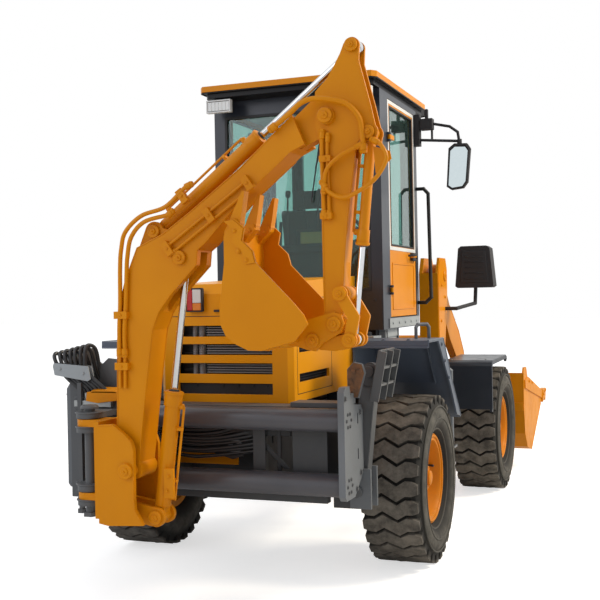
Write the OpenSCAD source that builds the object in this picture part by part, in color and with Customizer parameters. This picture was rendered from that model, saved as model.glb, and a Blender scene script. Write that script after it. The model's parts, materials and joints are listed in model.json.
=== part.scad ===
// Articulated backhoe loader: a wheeled carrier with a front loader bucket
// and a side-shifting digging arm at the rear.
// Millimetres. +X is the machine's right, +Y is forward, +Z is up, ground at z = 0.

/* [Carrier] */
// distance between the axles
wheelbase = 2620; // [2300:10:2900]
// position of the rear axle along the machine
rear_axle_y = -1530; // [-1800:10:-1200]
// half the distance between the tyre centres
half_track = 931; // [850:1:1000]
// clear side plate thickness of the frames
frame_plate = 25; // [15:1:40]

/* [Wheels] */
// tyre radius over the lugs
tyre_r = 537.5; // [480:0.5:600]
// tyre section width
tyre_w = 400; // [340:5:460]
// radius of the tyre's bead seat
seat_r = 262; // [240:1:280]
// tread bars around one tyre
lug_count = 29; // [24:1:34]
// height of a tread bar over the carcass
lug_h = 30; // [15:1:45]

/* [Cab] */
// half width of the cab body
cab_half = 640; // [580:5:700]
// underside of the cab
cab_z0 = 1480; // [1400:5:1560]
// top of the cab body, where the roof sits
cab_z1 = 3180; // [3000:5:3300]
// thickness of pillars and doors
cab_wall = 40; // [25:1:60]
// roof thickness
roof_t = 85; // [50:5:120]

/* [Engine hood] */
// half width of the hood
hood_half = 440; // [400:5:500]
// lower edge of the hood
hood_z0 = 1090; // [1040:5:1150]
// sheet thickness of the hood
hood_t = 18; // [8:1:30]

/* [Slide frame] */
// half length of the slide tubes
slide_half = 860; // [800:5:920]
// radius of the slide tubes
slide_r = 65; // [50:1:80]
// height of the upper tube's centre
slide_z_top = 1035; // [1000:5:1080]
// height of the lower tube's centre
slide_z_low = 675; // [620:5:720]

/* [Digging arm] */
// distance of the arm's plane behind the rear axle
arm_back = 1460; // [1440:5:1500]
// half width of the boom
boom_half = 88; // [70:1:110]
// half width of the stick
stick_half = 55; // [45:1:70]
// half width of the digging bucket
dig_half = 250; // [200:5:252]
// thickness of the stick's cheeks
stick_t = 16; // [10:1:24]
// side gap between plates that turn past each other
side_gap = 2; // [1:0.5:5]
// radius of the pins
pin_r = 21; // [16:1:28]
// running gap round a pin, rod or hinge
run_gap = 0.4; // [0.3:0.1:0.8]

/* [Loader] */
// half width of the loader bucket
bucket_half = 1170; // [1100:5:1250]
// wall thickness of the loader bucket
bucket_t = 16; // [10:1:25]
// inner face of the loader arms
arm_in = 600; // [580:5:610]
// thickness of a loader arm
arm_t = 60; // [40:2:70]

/* [Hidden] */
$fn = 48;
ra = rear_axle_y;
fa = ra + wheelbase;
pv = ra + wheelbase / 2;
axle_z = tyre_r;
axle_seat = axle_z + 110;
// datum of the front chassis, one drawn wheelbase behind its axle
fr = fa - 2620;
slide_y = ra - 1110;
py = ra - arm_back;

// pins of the digging arm, [x, z] in its plane
swing_x = -550;
foot = [-229, 795];
lift_base = [-99, 534];
lift_eye = [89, 1944];
stick_base = [-77, 2092];
elbow = [925, 2640];
stick_eye = [1065, 2987];
curl_base = [1145, 2543];
wrist = [950, 1579];
lever_pin = [990, 1732];
lever_end = [1036, 1498];
ear_pin = [834, 1496];

// pins of the loader, [y, z]
arm_top = [fr + 2120, 1880];
arm_low = [fr + 3220, 420];
jack_base = [fr + 1960, 741];
jack_eye = [fr + 2467, 1520];
tilt_base = [fr + 2660, 1420];
tilt_eye = [fr + 3270, 800];
jack_x = 470;
arm_tube = [fr + 2600, 1300];

// cylinders: [barrel radius, barrel length, rod radius, rod length]
lift_cyl = [48, 820, 26, 815];
tilt_cyl = [44, 740, 24, 775];
boom_cyl = [44, 680, 20, 840];
stick_cyl = [40, 770, 18, 775];
curl_cyl = [27, 560, 15, 560];

// pins of the right stabiliser, [x, z]
leg_pin = [840, 600];
pad_pin = [918, 1285];
leg_y = ra - 800;

yellow = [0.80, 0.47, 0.03];
grey = [0.36, 0.38, 0.41];
dark = [0.16, 0.16, 0.17];
navy = [0.10, 0.12, 0.16];

// ---------- helpers ----------

// plate in the YZ plane between two x values
module plate_yz(pts, x0, x1) translate([x0, 0, 0]) rotate([90, 0, 90]) linear_extrude(x1 - x0) polygon(pts);

// plate in the XZ plane between two y values
module plate_xz(pts, y0, y1) translate([0, y1, 0]) rotate([90, 0, 0]) linear_extrude(y1 - y0) polygon(pts);

// shape drawn in the XZ plane, thickness t about y
module slab_xz(y, t) translate([0, y + t / 2, 0]) rotate([90, 0, 0]) linear_extrude(t) children();

// shape drawn in the YZ plane, thickness t about x
module slab_yz(x, t) translate([x - t / 2, 0, 0]) rotate([90, 0, 90]) linear_extrude(t) children();

module box(a, b) translate(a) cube([b[0] - a[0], b[1] - a[1], b[2] - a[2]]);

module bar(p, q, r) {
    d = q - p;
    n = norm(d);
    translate(p) rotate([0, acos(d[2] / n), atan2(d[1], d[0])]) cylinder(h = n, r = r);
}

// round bar through a list of points, with a ball at each bend
module pipe(pts, r) {
    for (i = [0 : len(pts) - 2]) bar(pts[i], pts[i + 1], r);
    if (len(pts) > 2) for (i = [1 : len(pts) - 2]) translate(pts[i]) sphere(r * 1.06);
}

module pin_y(p, y, r, w) translate([p[0], y, p[1]]) rotate([90, 0, 0]) cylinder(h = w, r = r, center = true);
module pin_x(p, x, r, w) translate([x, p[0], p[1]]) rotate([0, 90, 0]) cylinder(h = w, r = r, center = true);
module both() { children(); mirror([1, 0, 0]) children(); }

// flat link outline: an eye at each point and a straight web between them
module link_2d(p, q, rp, rq, w) {
    d = (q - p) / norm(q - p);
    n = [-d[1], d[0]] * w;
    translate(p) circle(rp);
    translate(q) circle(rq);
    polygon([p + n, q + n, q - n, p - n]);
}

// cylinder barrel in the digging arm's plane: base eye, tube, gland
// c = [barrel radius, barrel length, rod radius, rod length], w = width of the base eye
module barrel_y(a, b, c, y, w) {
    u = (b - a) / norm(b - a);
    n = [-u[1], u[0]] * c[0] * 0.65;
    e = a + u * c[1];
    t = a + u * c[0] * 1.25;
    difference() {
        union() {
            pin_y(a, y, max(c[0] * 0.85, pin_r + 14), w);
            slab_xz(y, w) polygon([a + n, t + u * 10 + n, t + u * 10 - n, a - n]);
            bar([t[0], y, t[1]], [e[0], y, e[1]], c[0]);
            bar([e[0] - u[0] * 70, y, e[1] - u[1] * 70], [e[0], y, e[1]], c[0] + 6);
        }
        pin_y(a, y, pin_r + run_gap, w + 20);
        bar([t[0] + u[0] * 20, y, t[1] + u[1] * 20], [e[0] + u[0] * 5, y, e[1] + u[1] * 5], c[2] + run_gap);
    }
}

// rod with its eye of radius re and width w, reaching back into the barrel
module rod_y(a, b, c, re, y, w) {
    u = (b - a) / norm(b - a);
    s = b - u * c[3];
    bar([s[0], y, s[1]], [b[0] - u[0] * re * 0.6, y, b[1] - u[1] * re * 0.6], c[2]);
    difference() {
        pin_y(b, y, re, w);
        pin_y(b, y, re * 0.45, w + 2);
    }
}

// ---------- wheels ----------

// positions: [side, axle y]
module at_wheel(side, y) translate([side * half_track, y, axle_z]) mirror([side < 0 ? 1 : 0, 0, 0]) children();

lug_pitch = 2 * PI * tyre_r / lug_count;
// one long edge of a bar, [across, along]; its other edge is the same line turned half a turn
lug_edge = [for (p = [[-178, 36], [-138, 52], [-100, 54], [-46, 20], [46, 72], [100, 38], [138, 38],
    [178, 24]]) [p[0], p[1] * lug_pitch / 116]];
lug_reach = max([for (p = lug_edge) p[1]]);
lug_top = sqrt(tyre_r * tyre_r - lug_reach * lug_reach);

module tyre() {
    cr = tyre_r - lug_h;
    h = tyre_w / 2;
    rotate([0, 90, 0]) rotate_extrude($fn = 64) polygon([
        [seat_r, -124], [seat_r + 26, -128], [seat_r + 48, -165], [seat_r + 105, -h + 3], [seat_r + 160, -h],
        [cr - 42, -h + 16], [cr, -h + 40], [cr, h - 40],
        [cr - 42, h - 16], [seat_r + 160, h], [seat_r + 105, h - 3], [seat_r + 48, 165],
            [seat_r + 26, 128], [seat_r, 124]
    ]);
    // zigzag bars across the tread, their corners on the tyre's radius
    for (i = [0 : lug_count - 1]) rotate([i * 360 / lug_count + asin(lug_reach / tyre_r), 0, 0])
        translate([0, 0, -lug_top]) linear_extrude(lug_h + 40) polygon(concat(lug_edge,
            [for (p = lug_edge) -p]));
}

module rim() {
    rotate([0, 90, 0]) difference() {
        union() {
            translate([0, 0, -142]) cylinder(h = 14, r = seat_r + 24);
            translate([0, 0, -130]) cylinder(h = 260, r = seat_r);
            translate([0, 0, 128]) cylinder(h = 14, r = seat_r + 24);
        }
        translate([0, 0, 34]) cylinder(h = 120, r1 = 205, r2 = 246);
        translate([0, 0, -150]) cylinder(h = 162, r1 = 246, r2 = 190);
        translate([0, 0, -150]) cylinder(h = 300, r = 60.5);
    }
    rotate([0, 90, 0]) difference() {
        union() {
            cylinder(h = 74, r = 118);
            cylinder(h = 96, r = 82);
        }
        translate([0, 0, -10]) cylinder(h = 78, r = 60.5);
    }
    for (a = [0 : 45 : 315]) rotate([a, 0, 0]) translate([30, 0, 158]) rotate([0, 90, 0]) cylinder(h = 22,
        r = 13, $fn = 6);
}

// ---------- rear chassis ----------

module rear_frame() color(dark) {
    both() {
        plate_yz([[ra - 1000, 620], [ra - 1000, 920], [ra - 700, 920], [ra - 700, 1020], [ra + 1030, 1020],
            [ra + 1030, 620]], 300, 300 + frame_plate);
        // outriggers under the hood and posts under the cab
        for (y = [-560, 160]) box([310, ra + y, 960], [hood_half, ra + y + 80, hood_z0]);
        for (y = [560, 1010]) {
            box([0, ra + y - 40, 940], [560, ra + y + 40, 1020]);
            box([480, ra + y - 40, 1000], [560, ra + y + 40, cab_z0]);
        }
        // axle seats
        box([300, ra - 80, axle_seat], [400, ra + 80, axle_seat + 42]);
        // rear stabiliser cylinder brackets on the rail ends
        for (y = [-872, -750]) box([150, ra + y, 860], [330, ra + y + 22, 1012]);
        // fender carriers
        box([320, ra + 250, 930], [700, ra + 300, 980]);
    }
    box([-325, ra - 1000, 620], [325, ra - 975, 700]);
    box([-325, ra - 680, 640], [325, ra - 655, 860]);
    box([-325, ra + 1005, 470], [325, ra + 1030, 1020]);
    // pivot lugs and the centre pin
    for (z = [470, 930]) {
        box([-130, ra + 1020, z], [130, pv, z + 40]);
        translate([0, pv, z]) cylinder(h = 40, r = 130);
    }
    translate([0, pv, 460]) cylinder(h = 520, r = 35);
}

module slide_tubes() color(dark)
    for (z = [slide_z_top, slide_z_low]) bar([-slide_half + 18, slide_y, z],
        [slide_half - 18, slide_y, z], slide_r);

module slide_frame() color(grey) {
    both() {
        difference() {
            plate_yz([[ra - 1190, 625], [ra - 1190, 1195], [ra - 1160, 1222], [ra - 1090, 1222],
                [ra - 1050, 1120],
                [ra - 880, 1100], [ra - 850, 1060], [ra - 850, 720], [ra - 1020, 600],
                    [ra - 1165, 600]], slide_half - 18, slide_half + 20);
            for (z = [800, 1000]) box([830, ra - 960, z], [900, ra - 940, z + 60]);
        }
        // stabiliser ears and their inner web
        box([720, ra - 872, 500], [925, ra - 850, 730]);
        box([720, ra - 750, 500], [925, ra - 728, 730]);
        box([700, ra - 872, 500], [728, ra - 728, 980]);
        box([700, slide_y + slide_r, 610], [728, ra - 850, 1090]);
        pin_y(leg_pin, leg_y, pin_r, 160);
        // bracket above the end plate
        plate_xz([[842, 1150], [842, 1310], [880, 1350], [930, 1340], [945, 1290],
            [905, 1150]], ra - 1010, ra - 985);
        box([842, ra - 1060, 1120], [880, ra - 985, 1180]);
        // cover plates and the lugs bolted to the rails
        box([520, slide_y + slide_r, 610], [728, ra - 1020, 1090]);
        box([275, slide_y + slide_r, 620], [350, ra - 1000, 1085]);
    }
    box([-728, ra - 1060, 560], [728, ra - 1000, 625]);
}

module rear_axle() color(dark) axle_at(ra);

// turned housing with its centre case, hubs and stub shafts, and the pads under the frame
axle_profile = [[60, 980], [60, 680], [115, 680], [115, 560], [66, 560], [66, 380], [105, 160], [158, 104]];
module axle_at(y) translate([0, y, axle_z]) {
    rotate([0, 90, 0]) rotate_extrude() polygon(concat([[0, 980]], axle_profile,
        [for (i = [len(axle_profile) - 1 : -1 : 0]) [axle_profile[i][0], -axle_profile[i][1]]], [[0, -980]]));
    both() box([330, -60, 40], [400, 60, axle_seat - axle_z]);
}

module engine_block() color(dark) {
    box([-255, ra - 470, 760], [255, ra + 330, 1560]);
    both() box([245, ra - 100, 840], [300, ra + 20, 900]);
}

module engine_hood() color(yellow) {
    difference() {
        plate_yz([[ra - 820, hood_z0], [ra - 820, 1750], [ra - 765, 1812], [ra + 430, 1862],
            [ra + 430, 1150], [ra + 300, 1150], [ra + 240, hood_z0]], -hood_half, hood_half);
        plate_yz([[ra - 820 + hood_t, hood_z0 - 5], [ra - 820 + hood_t, 1740], [ra - 760, 1812 - hood_t],
            [ra + 440, 1862 - hood_t], [ra + 440, hood_z0 - 5]], -hood_half + hood_t, hood_half - hood_t);
        // rear grille slots
        for (z = [1140, 1262, 1378, 1490]) box([-312, ra - 840, z], [312, ra - 780, z + 66]);
        // side louvres
        for (z = [1205, 1385, 1565]) for (s = [-1, 1])
            box([s * hood_half - 30, ra - 700, z], [s * hood_half + 30, ra - 160, z + 52]);
        // bevelled rear corners
        both() translate([hood_half, ra - 820, 1400]) rotate([0, 0, 45]) cube([44, 44, 1200], center = true);
    }
    both() box([hood_half - 60, ra - 790, hood_z0 + 2], [hood_half - 10, ra - 765, 1740]);
}

module radiator() color([0.30, 0.31, 0.33]) {
    box([-330, ra - 725, 1020], [330, ra - 640, 1700]);
    box([-190, ra - 760, 1100], [-150, ra - 720, 1680]);
    for (i = [0 : 10]) box([-320, ra - 745, 1120 + i * 52], [320, ra - 722, 1134 + i * 52]);
}

cab_nose = cab_half - 140;
cab_plan = [[-cab_half, ra + 450], [cab_half, ra + 450], [cab_half, ra + 1470], [cab_nose, ra + 1780],
    [-cab_nose, ra + 1780], [-cab_half, ra + 1470]];
cab_in = cab_half - cab_wall;
cab_plan_in = [[-cab_in, ra + 450 + cab_wall], [cab_in, ra + 450 + cab_wall], [cab_in, ra + 1460],
    [cab_nose - 25, ra + 1780 - cab_wall],
    [-cab_nose + 25, ra + 1780 - cab_wall], [-cab_in, ra + 1460]];
// door: rear and front edge, bottom and top, and its gap in the opening
door_y = [ra + 652, ra + 1392];
door_z = [1566, 3138];
door_gap = 6;

// flat pane or cut across a front corner of the cab, t thick
module corner_pane(t) both() translate([cab_half - 70, ra + 1625, 1700]) rotate([0, 0, 24.3])
    translate([-t / 2, -115, 0]) cube([t, 230, 1360]);

module cab_shell() color(navy) {
    difference() {
        translate([0, 0, cab_z0]) linear_extrude(cab_z1 - cab_z0) polygon(cab_plan);
        translate([0, 0, cab_z0 + 50]) linear_extrude(cab_z1 - cab_z0 - 90) polygon(cab_plan_in);
        // rear window
        box([-cab_half + 90, ra + 400, 1760], [cab_half - 90, ra + 520, 3060]);
        // front window
        box([-cab_nose + 70, ra + 1700, 1700], [cab_nose - 70, ra + 1800, 3060]);
        // door openings and front corner windows
        both() box([cab_half - 80, door_y[0] - door_gap, door_z[0] - door_gap],
            [cab_half + 60, door_y[1] + door_gap, door_z[1] + 2]);
        corner_pane(160);
    }
    hinge_lugs();
}

// hinge knuckles of the doors, their pins fixed in the cab's lugs
hinge_at = [cab_half + 14, door_y[0] - 16];
hinge_z = [1760, 2860];
module hinge_lugs() both() for (z = hinge_z) {
    for (d = [-34, 18]) {
        translate([hinge_at[0], hinge_at[1], z + d]) cylinder(h = 16, r = 12);
        box([cab_half, hinge_at[1] - 12, z + d], [hinge_at[0], hinge_at[1] + 4, z + d + 16]);
    }
    translate([hinge_at[0], hinge_at[1], z - 34]) cylinder(h = 68, r = 6);
}

// half of the roof's outline, drawn in by d
function roof_side(d) = [[cab_half - d, ra + 250 + d], [cab_half + 30 - d, ra + 290 + d],
    [cab_half + 30 - d, ra + 1670],
    [cab_half - 38 - d, ra + 1955 - d], [cab_half - 68 - d, ra + 1970 - d]];
module roof_2d(d) { polygon(concat(roof_side(d), [for (i = [4 : -1 : 0]) [-roof_side(d)[i][0],
    roof_side(d)[i][1]]])); }

// visor plate over a smaller liner
module cab_roof() color(yellow) {
    translate([0, 0, cab_z1 + roof_t / 2]) linear_extrude(roof_t / 2) roof_2d(0);
    translate([0, 0, cab_z1]) linear_extrude(roof_t / 2) roof_2d(32);
}

module cab_glass() color([0.35, 0.60, 0.58, 0.5]) {
    box([-cab_half + 90, ra + 462, 1760], [cab_half - 90, ra + 468, 3060]);
    box([-cab_nose + 70, ra + 1757, 1700], [cab_nose - 70, ra + 1763, 3060]);
    corner_pane(6);
}

seat_x = 240;
seat_z = [cab_z0 + 280, cab_z0 + 400];

module cab_interior() color([0.08, 0.08, 0.09]) {
    // seat pedestal
    box([-180, ra + 760, cab_z0 + 50], [180, ra + 1080, seat_z[0]]);
    // rear levers and their console
    box([-300, ra + 500, cab_z0 + 50], [300, ra + 620, 2050]);
    for (x = [-180, 180]) bar([x, ra + 560, 2040], [x, ra + 600, 2280], 12);
    // front console, column and steering wheel
    box([-240, ra + 1500, cab_z0 + 50], [240, ra + 1720, 2120]);
    bar([0, ra + 1600, 2080], [0, ra + 1440, 2270], 28);
    translate([0, ra + 1440, 2270]) rotate([-40, 0, 0]) {
        rotate_extrude($fn = 40) translate([180, 0]) circle(14, $fn = 16);
        cylinder(h = 24, r = 40, center = true);
        for (a = [0, 120, 240]) rotate([0, 0, a]) translate([0, -12, -8]) cube([180, 24, 16]);
    }
}

module seat_cushion() color(dark) box([-seat_x, ra + 740, seat_z[0]], [seat_x, ra + 1200, seat_z[1]]);
module seat_back() color(dark) plate_yz([[ra + 740, seat_z[1]], [ra + 860, seat_z[1]],
    [ra + 800, seat_z[1] + 500], [ra + 700, seat_z[1] + 500]], -seat_x + 5, seat_x - 5);
module head_rest() color(dark) box([-140, ra + 705, seat_z[1] + 500], [140, ra + 790, seat_z[1] + 640]);

fender_in = 660;
module rear_fenders() color(grey) both() {
    plate_yz([[ra - 350, 1395], [ra - 350, 1440], [ra + 60, 1440], [ra + 300, 1140], [ra + 560, 880],
        [ra + 545, 868],
        [ra + 285, 1128], [ra + 52, 1425], [ra - 338, 1425], [ra - 338, 1395]], fender_in, 1150);
    // inner side wall and outer gusset
    plate_yz([[ra - 345, 1400], [ra - 345, 1436], [ra + 58, 1436], [ra + 300, 1134], [ra + 550, 880],
        [ra + 290, 1000], [ra - 290, 1180]],
        fender_in, fender_in + 12);
    plate_yz([[ra - 80, 1430], [ra + 58, 1436], [ra + 300, 1136], [ra + 550, 878], [ra + 440, 900],
        [ra + 250, 1120]], 1136, 1150);
    // carrier to the frame
    box([fender_in, ra + 250, 980], [fender_in + 40, ra + 300, 1130]);
}

module side_tanks() color([0.45, 0.47, 0.49]) both() {
    box([hood_half + 5, ra + 330, 1030], [600, ra + 520, 1440]);
    difference() {
        box([340, ra + 600, 1060], [610, ra + 960, cab_z0]);
        box([600, ra + 640, 1120], [620, ra + 920, 1420]);
    }
}

module steps() color(grey) both() {
    pipe([[600, ra + 800, 1180], [910, ra + 800, 1180], [950, ra + 800, 1140], [950, ra + 800, 560]], 16);
    pipe([[610, ra + 930, 1180], [660, ra + 930, 1180], [910, ra + 1150, 1180], [950, ra + 1170, 1140],
        [950, ra + 1170, 560]], 16);
    for (z = [570, 925]) box([910, ra + 795, z], [990, ra + 1175, z + 14]);
    // grab loop on the fender
    pipe([[1000, ra - 60, 1440], [1000, ra - 60, 1510], [1010, ra - 50, 1530], [1060, ra - 10, 1530],
        [1070, ra, 1510], [1070, ra, 1440]], 11);
    // rail beside the door
    color(dark) translate([cab_half, ra + 1450, 0])
        pipe([[0, 0, 2560], [60, 0, 2560], [95, 0, 2520], [105, 0, 1700], [60, 0, 1660], [0, 0, 1660]], 14);
}

module rear_lamps() color([0.75, 0.75, 0.72]) both() {
    box([440, ra + 300, 3080], [625, ra + 350, 3165]);
    box([510, ra + 310, 3160], [560, ra + 340, cab_z1]);
    box([131, ra - 850, 1645], [234, ra - 820, 1785]);
}

module mirrors() color(dark) both() translate([cab_half, 0, 0]) {
    pipe([[10, ra + 1455, 3100], [280, ra + 1440, 3035], [345, ra + 1430, 2985], [360, ra + 1430, 2880]], 11);
    pipe([[10, ra + 1455, 2950], [345, ra + 1430, 2915]], 11);
    pipe([[135, ra + 1455, 3066], [135, ra + 1455, 2940]], 9);
    box([0, ra + 1432, 2920], [28, ra + 1470, 3130]);
    plate_xz([[255, 2560], [290, 2535], [385, 2545], [420, 2590], [445, 2850], [420, 2890], [320, 2895],
        [275, 2860]], ra + 1405, ra + 1450);
}

// ---------- front chassis ----------

module front_frame() color(yellow) {
    for (z = [520, 880]) difference() {
        union() {
            box([-110, pv, z], [110, fr + 1640, z + 40]);
            translate([0, pv, z]) cylinder(h = 40, r = 110);
        }
        translate([0, pv, z - 10]) cylinder(h = 60, r = 35.5);
    }
    box([-245, fr + 1620, 500], [245, fr + 1645, 1050]);
    both() {
        plate_yz([[fr + 1620, 640], [fr + 1620, 1050], [fr + 2700, 1050], [fr + 2860, 860],
            [fr + 2980, 820], [fr + 2980, 660], [fr + 2940, 640]], 220, 245);
        box([220, fa - 110, axle_seat], [400, fa + 110, axle_seat + 45]);
    }
    box([-245, fr + 2955, 640], [245, fr + 2980, 800]);
}

// side walls that carry the arms and the lift cylinders, on the deck between them
module loader_towers() color(yellow) {
    box([-400, fr + 1880, 1050], [400, fr + 2300, 1080]);
    both() {
        box([245, fr + 1880, 650], [570, fr + 1900, 1290]);
        box([0, fr + 1880, 1080], [570, fr + 1900, 1290]);
        plate_yz([[fr + 1880, 660], [fr + 1880, 1900], [fr + 1950, 2030], [fr + 2240, 2030],
            [fr + 2300, 1940], [fr + 2300, 980], [fr + 2150, 660]], 540, 570);
        plate_yz([[fr + 1880, 1100], [fr + 1880, 1900], [fr + 1950, 2030], [fr + 2180, 2030],
            [fr + 2230, 1940], [fr + 2230, 1700], [fr + 2060, 1100]], 680, 700);
        box([540, fr + 1880, 1100], [700, fr + 1900, 1900]);
        pin_x(arm_top, 625, 32, 160);
        // lift cylinder base pin and its inner ear
        plate_yz([[fr + 1890, 690], [fr + 1890, 1020], [fr + 2040, 1020], [fr + 2040, 700],
            [fr + 1990, 670]], 385, 410);
        pin_x(jack_base, 475, pin_r, 160);
    }
}

module front_axle() color(dark) axle_at(fa);

// moulded shell with a deeper lip along its outer edge
module front_fenders() color(navy) both() {
    plate_yz([[fr + 1985, 760], [fr + 1985, 1120], [fr + 2000, 1150], [fr + 2040, 1165], [fr + 2700, 1175],
        [fr + 2732, 1164], [fr + 2745, 1140],
        [fr + 2733, 1132], [fr + 2700, 1161], [fr + 2045, 1151], [fr + 1999, 1114],
            [fr + 1999, 760]], 712, 1110);
    plate_yz([[fr + 1985, 740], [fr + 1985, 1120], [fr + 2000, 1150], [fr + 2040, 1165], [fr + 2700, 1175],
        [fr + 2732, 1164], [fr + 2748, 1130],
        [fr + 2728, 1112], [fr + 2696, 1138], [fr + 2050, 1128], [fr + 2022, 1104],
            [fr + 2022, 740]], 1094, 1114);
    box([700, fr + 1985, 1105], [724, fr + 2058, 1160]);
}

module headlamps() color([0.09, 0.09, 0.10]) both() {
    plate_xz([[735, 1790], [765, 2120], [790, 2140], [1010, 2140], [1040, 2120], [1070, 1790],
        [1050, 1775], [755, 1775]], fr + 2400, fr + 2560);
    pipe([[700, fr + 2130, 1600], [800, fr + 2130, 1600], [900, fr + 2440, 1640], [900, fr + 2480, 1785]], 16);
}

// ---------- doors ----------

module door(s) mirror([s < 0 ? 1 : 0, 0, 0]) color(yellow) {
    difference() {
        box([cab_half - cab_wall, door_y[0], door_z[0]], [cab_half - 4, door_y[1], door_z[1]]);
        box([cab_half - 80, door_y[0] + 43, 2080], [cab_half + 20, door_y[1] - 42, door_z[1] - 40]);
    }
    // hinge straps and knuckles
    for (z = hinge_z) difference() {
        union() {
            translate([hinge_at[0], hinge_at[1], z - 16]) cylinder(h = 32, r = 12);
            box([cab_half - 6, hinge_at[1], z - 16], [hinge_at[0] + 12, hinge_at[1] + 90, z + 16]);
        }
        translate([hinge_at[0], hinge_at[1], z - 20]) cylinder(h = 40, r = 6 + run_gap);
        box([cab_half - 20, hinge_at[1] - 20, z - 20], [cab_half + 0.5, hinge_at[1] + 14, z + 20]);
    }
    // handle
    box([cab_half - 10, ra + 1270, 2010], [cab_half + 12, ra + 1300, 2032]);
    bar([cab_half + 14, ra + 1220, 2020], [cab_half + 14, ra + 1340, 2020], 13);
}

module door_glass(s) mirror([s < 0 ? 1 : 0, 0, 0]) color([0.35, 0.60, 0.58, 0.5])
    box([cab_half - 24, door_y[0] + 43, 2080], [cab_half - 18, door_y[1] - 42, door_z[1] - 40]);

// ---------- loader ----------

module loader_arms() color(yellow) {
    both() difference() {
        union() {
            plate_yz([[fr + 2160, 1972], [fr + 2500, 1620], [fr + 2860, 1385], [fr + 3060, 1190],
                [fr + 3210, 900], [fr + 3285, 440],
                [fr + 3155, 420], [fr + 3120, 700], [fr + 3020, 880], [fr + 2840, 1080], [fr + 2480, 1330],
                    [fr + 2230, 1560], [fr + 2040, 1800]], arm_in, arm_in + arm_t);
            pin_x(arm_top, arm_in + arm_t / 2, 100, arm_t);
            pin_x(arm_low, arm_in + arm_t / 2, 68, arm_t);
            pin_x(jack_eye, 557, pin_r, 106);
            pin_x(jack_eye, arm_in - 8, 50, 20);
        }
        pin_x(arm_top, arm_in + arm_t / 2, 32.5, 200);
        pin_x(arm_low, arm_in + arm_t / 2, pin_r + run_gap, 200);
    }
    bar([-arm_in - 5, arm_tube[0], arm_tube[1]], [arm_in + 5, arm_tube[0], arm_tube[1]], 55);
    for (x = [-48, 48]) slab_yz(x, 20) link_2d(arm_tube, tilt_base, 66, 42, 40);
    pin_x(tilt_base, 0, pin_r, 110);
}

module lift_barrels() color(yellow) both() translate([jack_x, 0, 0]) rotate([0, 0, 90]) barrel_y(jack_base,
    jack_eye, lift_cyl, 0, 70);
module lift_rods() color([0.75, 0.76, 0.78]) both() translate([jack_x, 0, 0]) rotate([0, 0,
    90]) rod_y(jack_base, jack_eye, lift_cyl, 46, 0, 56);
module tilt_barrel() color(yellow) rotate([0, 0, 90]) barrel_y(tilt_base, tilt_eye, tilt_cyl, 0, 64);
module tilt_rod() color([0.75, 0.76, 0.78]) rotate([0, 0, 90]) rod_y(tilt_base, tilt_eye, tilt_cyl, 44, 0, 56);

bucket_out = [[3345, 960], [3330, 640], [3380, 380], [3520, 235], [3800, 172], [4660, 622], [4700, 668]];
bucket_in = [[3363, 975], [3348, 642], [3396, 390], [3530, 252], [3797, 192], [4646, 636], [4700, 700],
    [4700, 1100], [3363, 1100]];

module loader_bucket() color(yellow) {
    difference() {
        plate_yz([for (p = concat(bucket_out, [[4600, 680], [3620, 905],
            [3400, 960]])) [fr + p[0], p[1]]], -bucket_half, bucket_half);
        plate_yz([for (p = bucket_in) [fr + p[0], p[1]]], -bucket_half + bucket_t, bucket_half - bucket_t);
    }
    both() {
        // raised rear corner and stiffener along the side plate's edge
        plate_yz([[fr + 3345, 940], [fr + 3400, 1010], [fr + 3545, 1005], [fr + 3620, 905],
            [fr + 3400, 900]], bucket_half - bucket_t, bucket_half);
        plate_yz([[fr + 3390, 890], [fr + 3620, 900], [fr + 4600, 678], [fr + 4590, 600],
            [fr + 3400, 812]], bucket_half - 4, bucket_half + 12);
        plate_yz([[fr + 4560, 560], [fr + 4600, 690], [fr + 4810, 690], [fr + 4815, 660], [fr + 4760, 560],
            [fr + 4680, 600]], bucket_half - 30, bucket_half + 22);
        // hinge ears
        for (x = [568, 672]) plate_yz([[fr + 3360, 300], [fr + 3260, 345], [fr + 3170, 372],
            [fr + 3150, 430], [fr + 3190, 490], [fr + 3360, 560]], x, x + 20);
        pin_x(arm_low, 630, pin_r, 124);
    }
    for (x = [-58, 38]) plate_yz([[fr + 3345, 680], [fr + 3235, 765], [fr + 3225, 810], [fr + 3255, 845],
        [fr + 3355, 900]], x, x + 20);
    // stiffener across the back
    box([-bucket_half + 5, fr + 3318, 600], [bucket_half - 5, fr + 3345, 680]);
    // teeth
    for (i = [-3.5 : 1 : 3.5]) translate([i * 290, 0, 0]) plate_yz([[fr + 4560, 566], [fr + 4548, 598],
        [fr + 4660, 660], [fr + 4790, 716], [fr + 4712, 628]], -32, 32);
}

// ---------- digging arm ----------

module carriage() color(grey) {
    difference() {
        union() {
            box([-815, slide_y - 140, 560], [-360, slide_y - 90, 1150]);
            for (z = [slide_z_top, slide_z_low]) box([-800, slide_y - 95, z - 88],
                [-380, slide_y + 40, z + 88]);
            for (z = [980, 1060, 570, 650]) {
                translate([swing_x, py, z]) cylinder(h = 32, r = 74);
                box([swing_x - 72, py, z], [swing_x + 72, slide_y - 100, z + 32]);
            }
            box([-742, slide_y - 180, 520], [-715, slide_y - 90, 1240]);
            box([-815, slide_y - 140, 1120], [-640, slide_y - 100, 1240]);
        }
        for (z = [slide_z_top, slide_z_low]) bar([-900, slide_y, z], [-300, slide_y, z], slide_r + 1);
        box([-700, slide_y - 150, 760], [-400, slide_y - 80, 950]);
    }
    translate([swing_x, py, 520]) cylinder(h = 600, r = 30);
    translate([swing_x, py, 505]) cylinder(h = 25, r = 48, $fn = 6);
}

// half gap between the post's cheeks and their thickness
post_in = 124;
cheek_t = 26;

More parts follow.
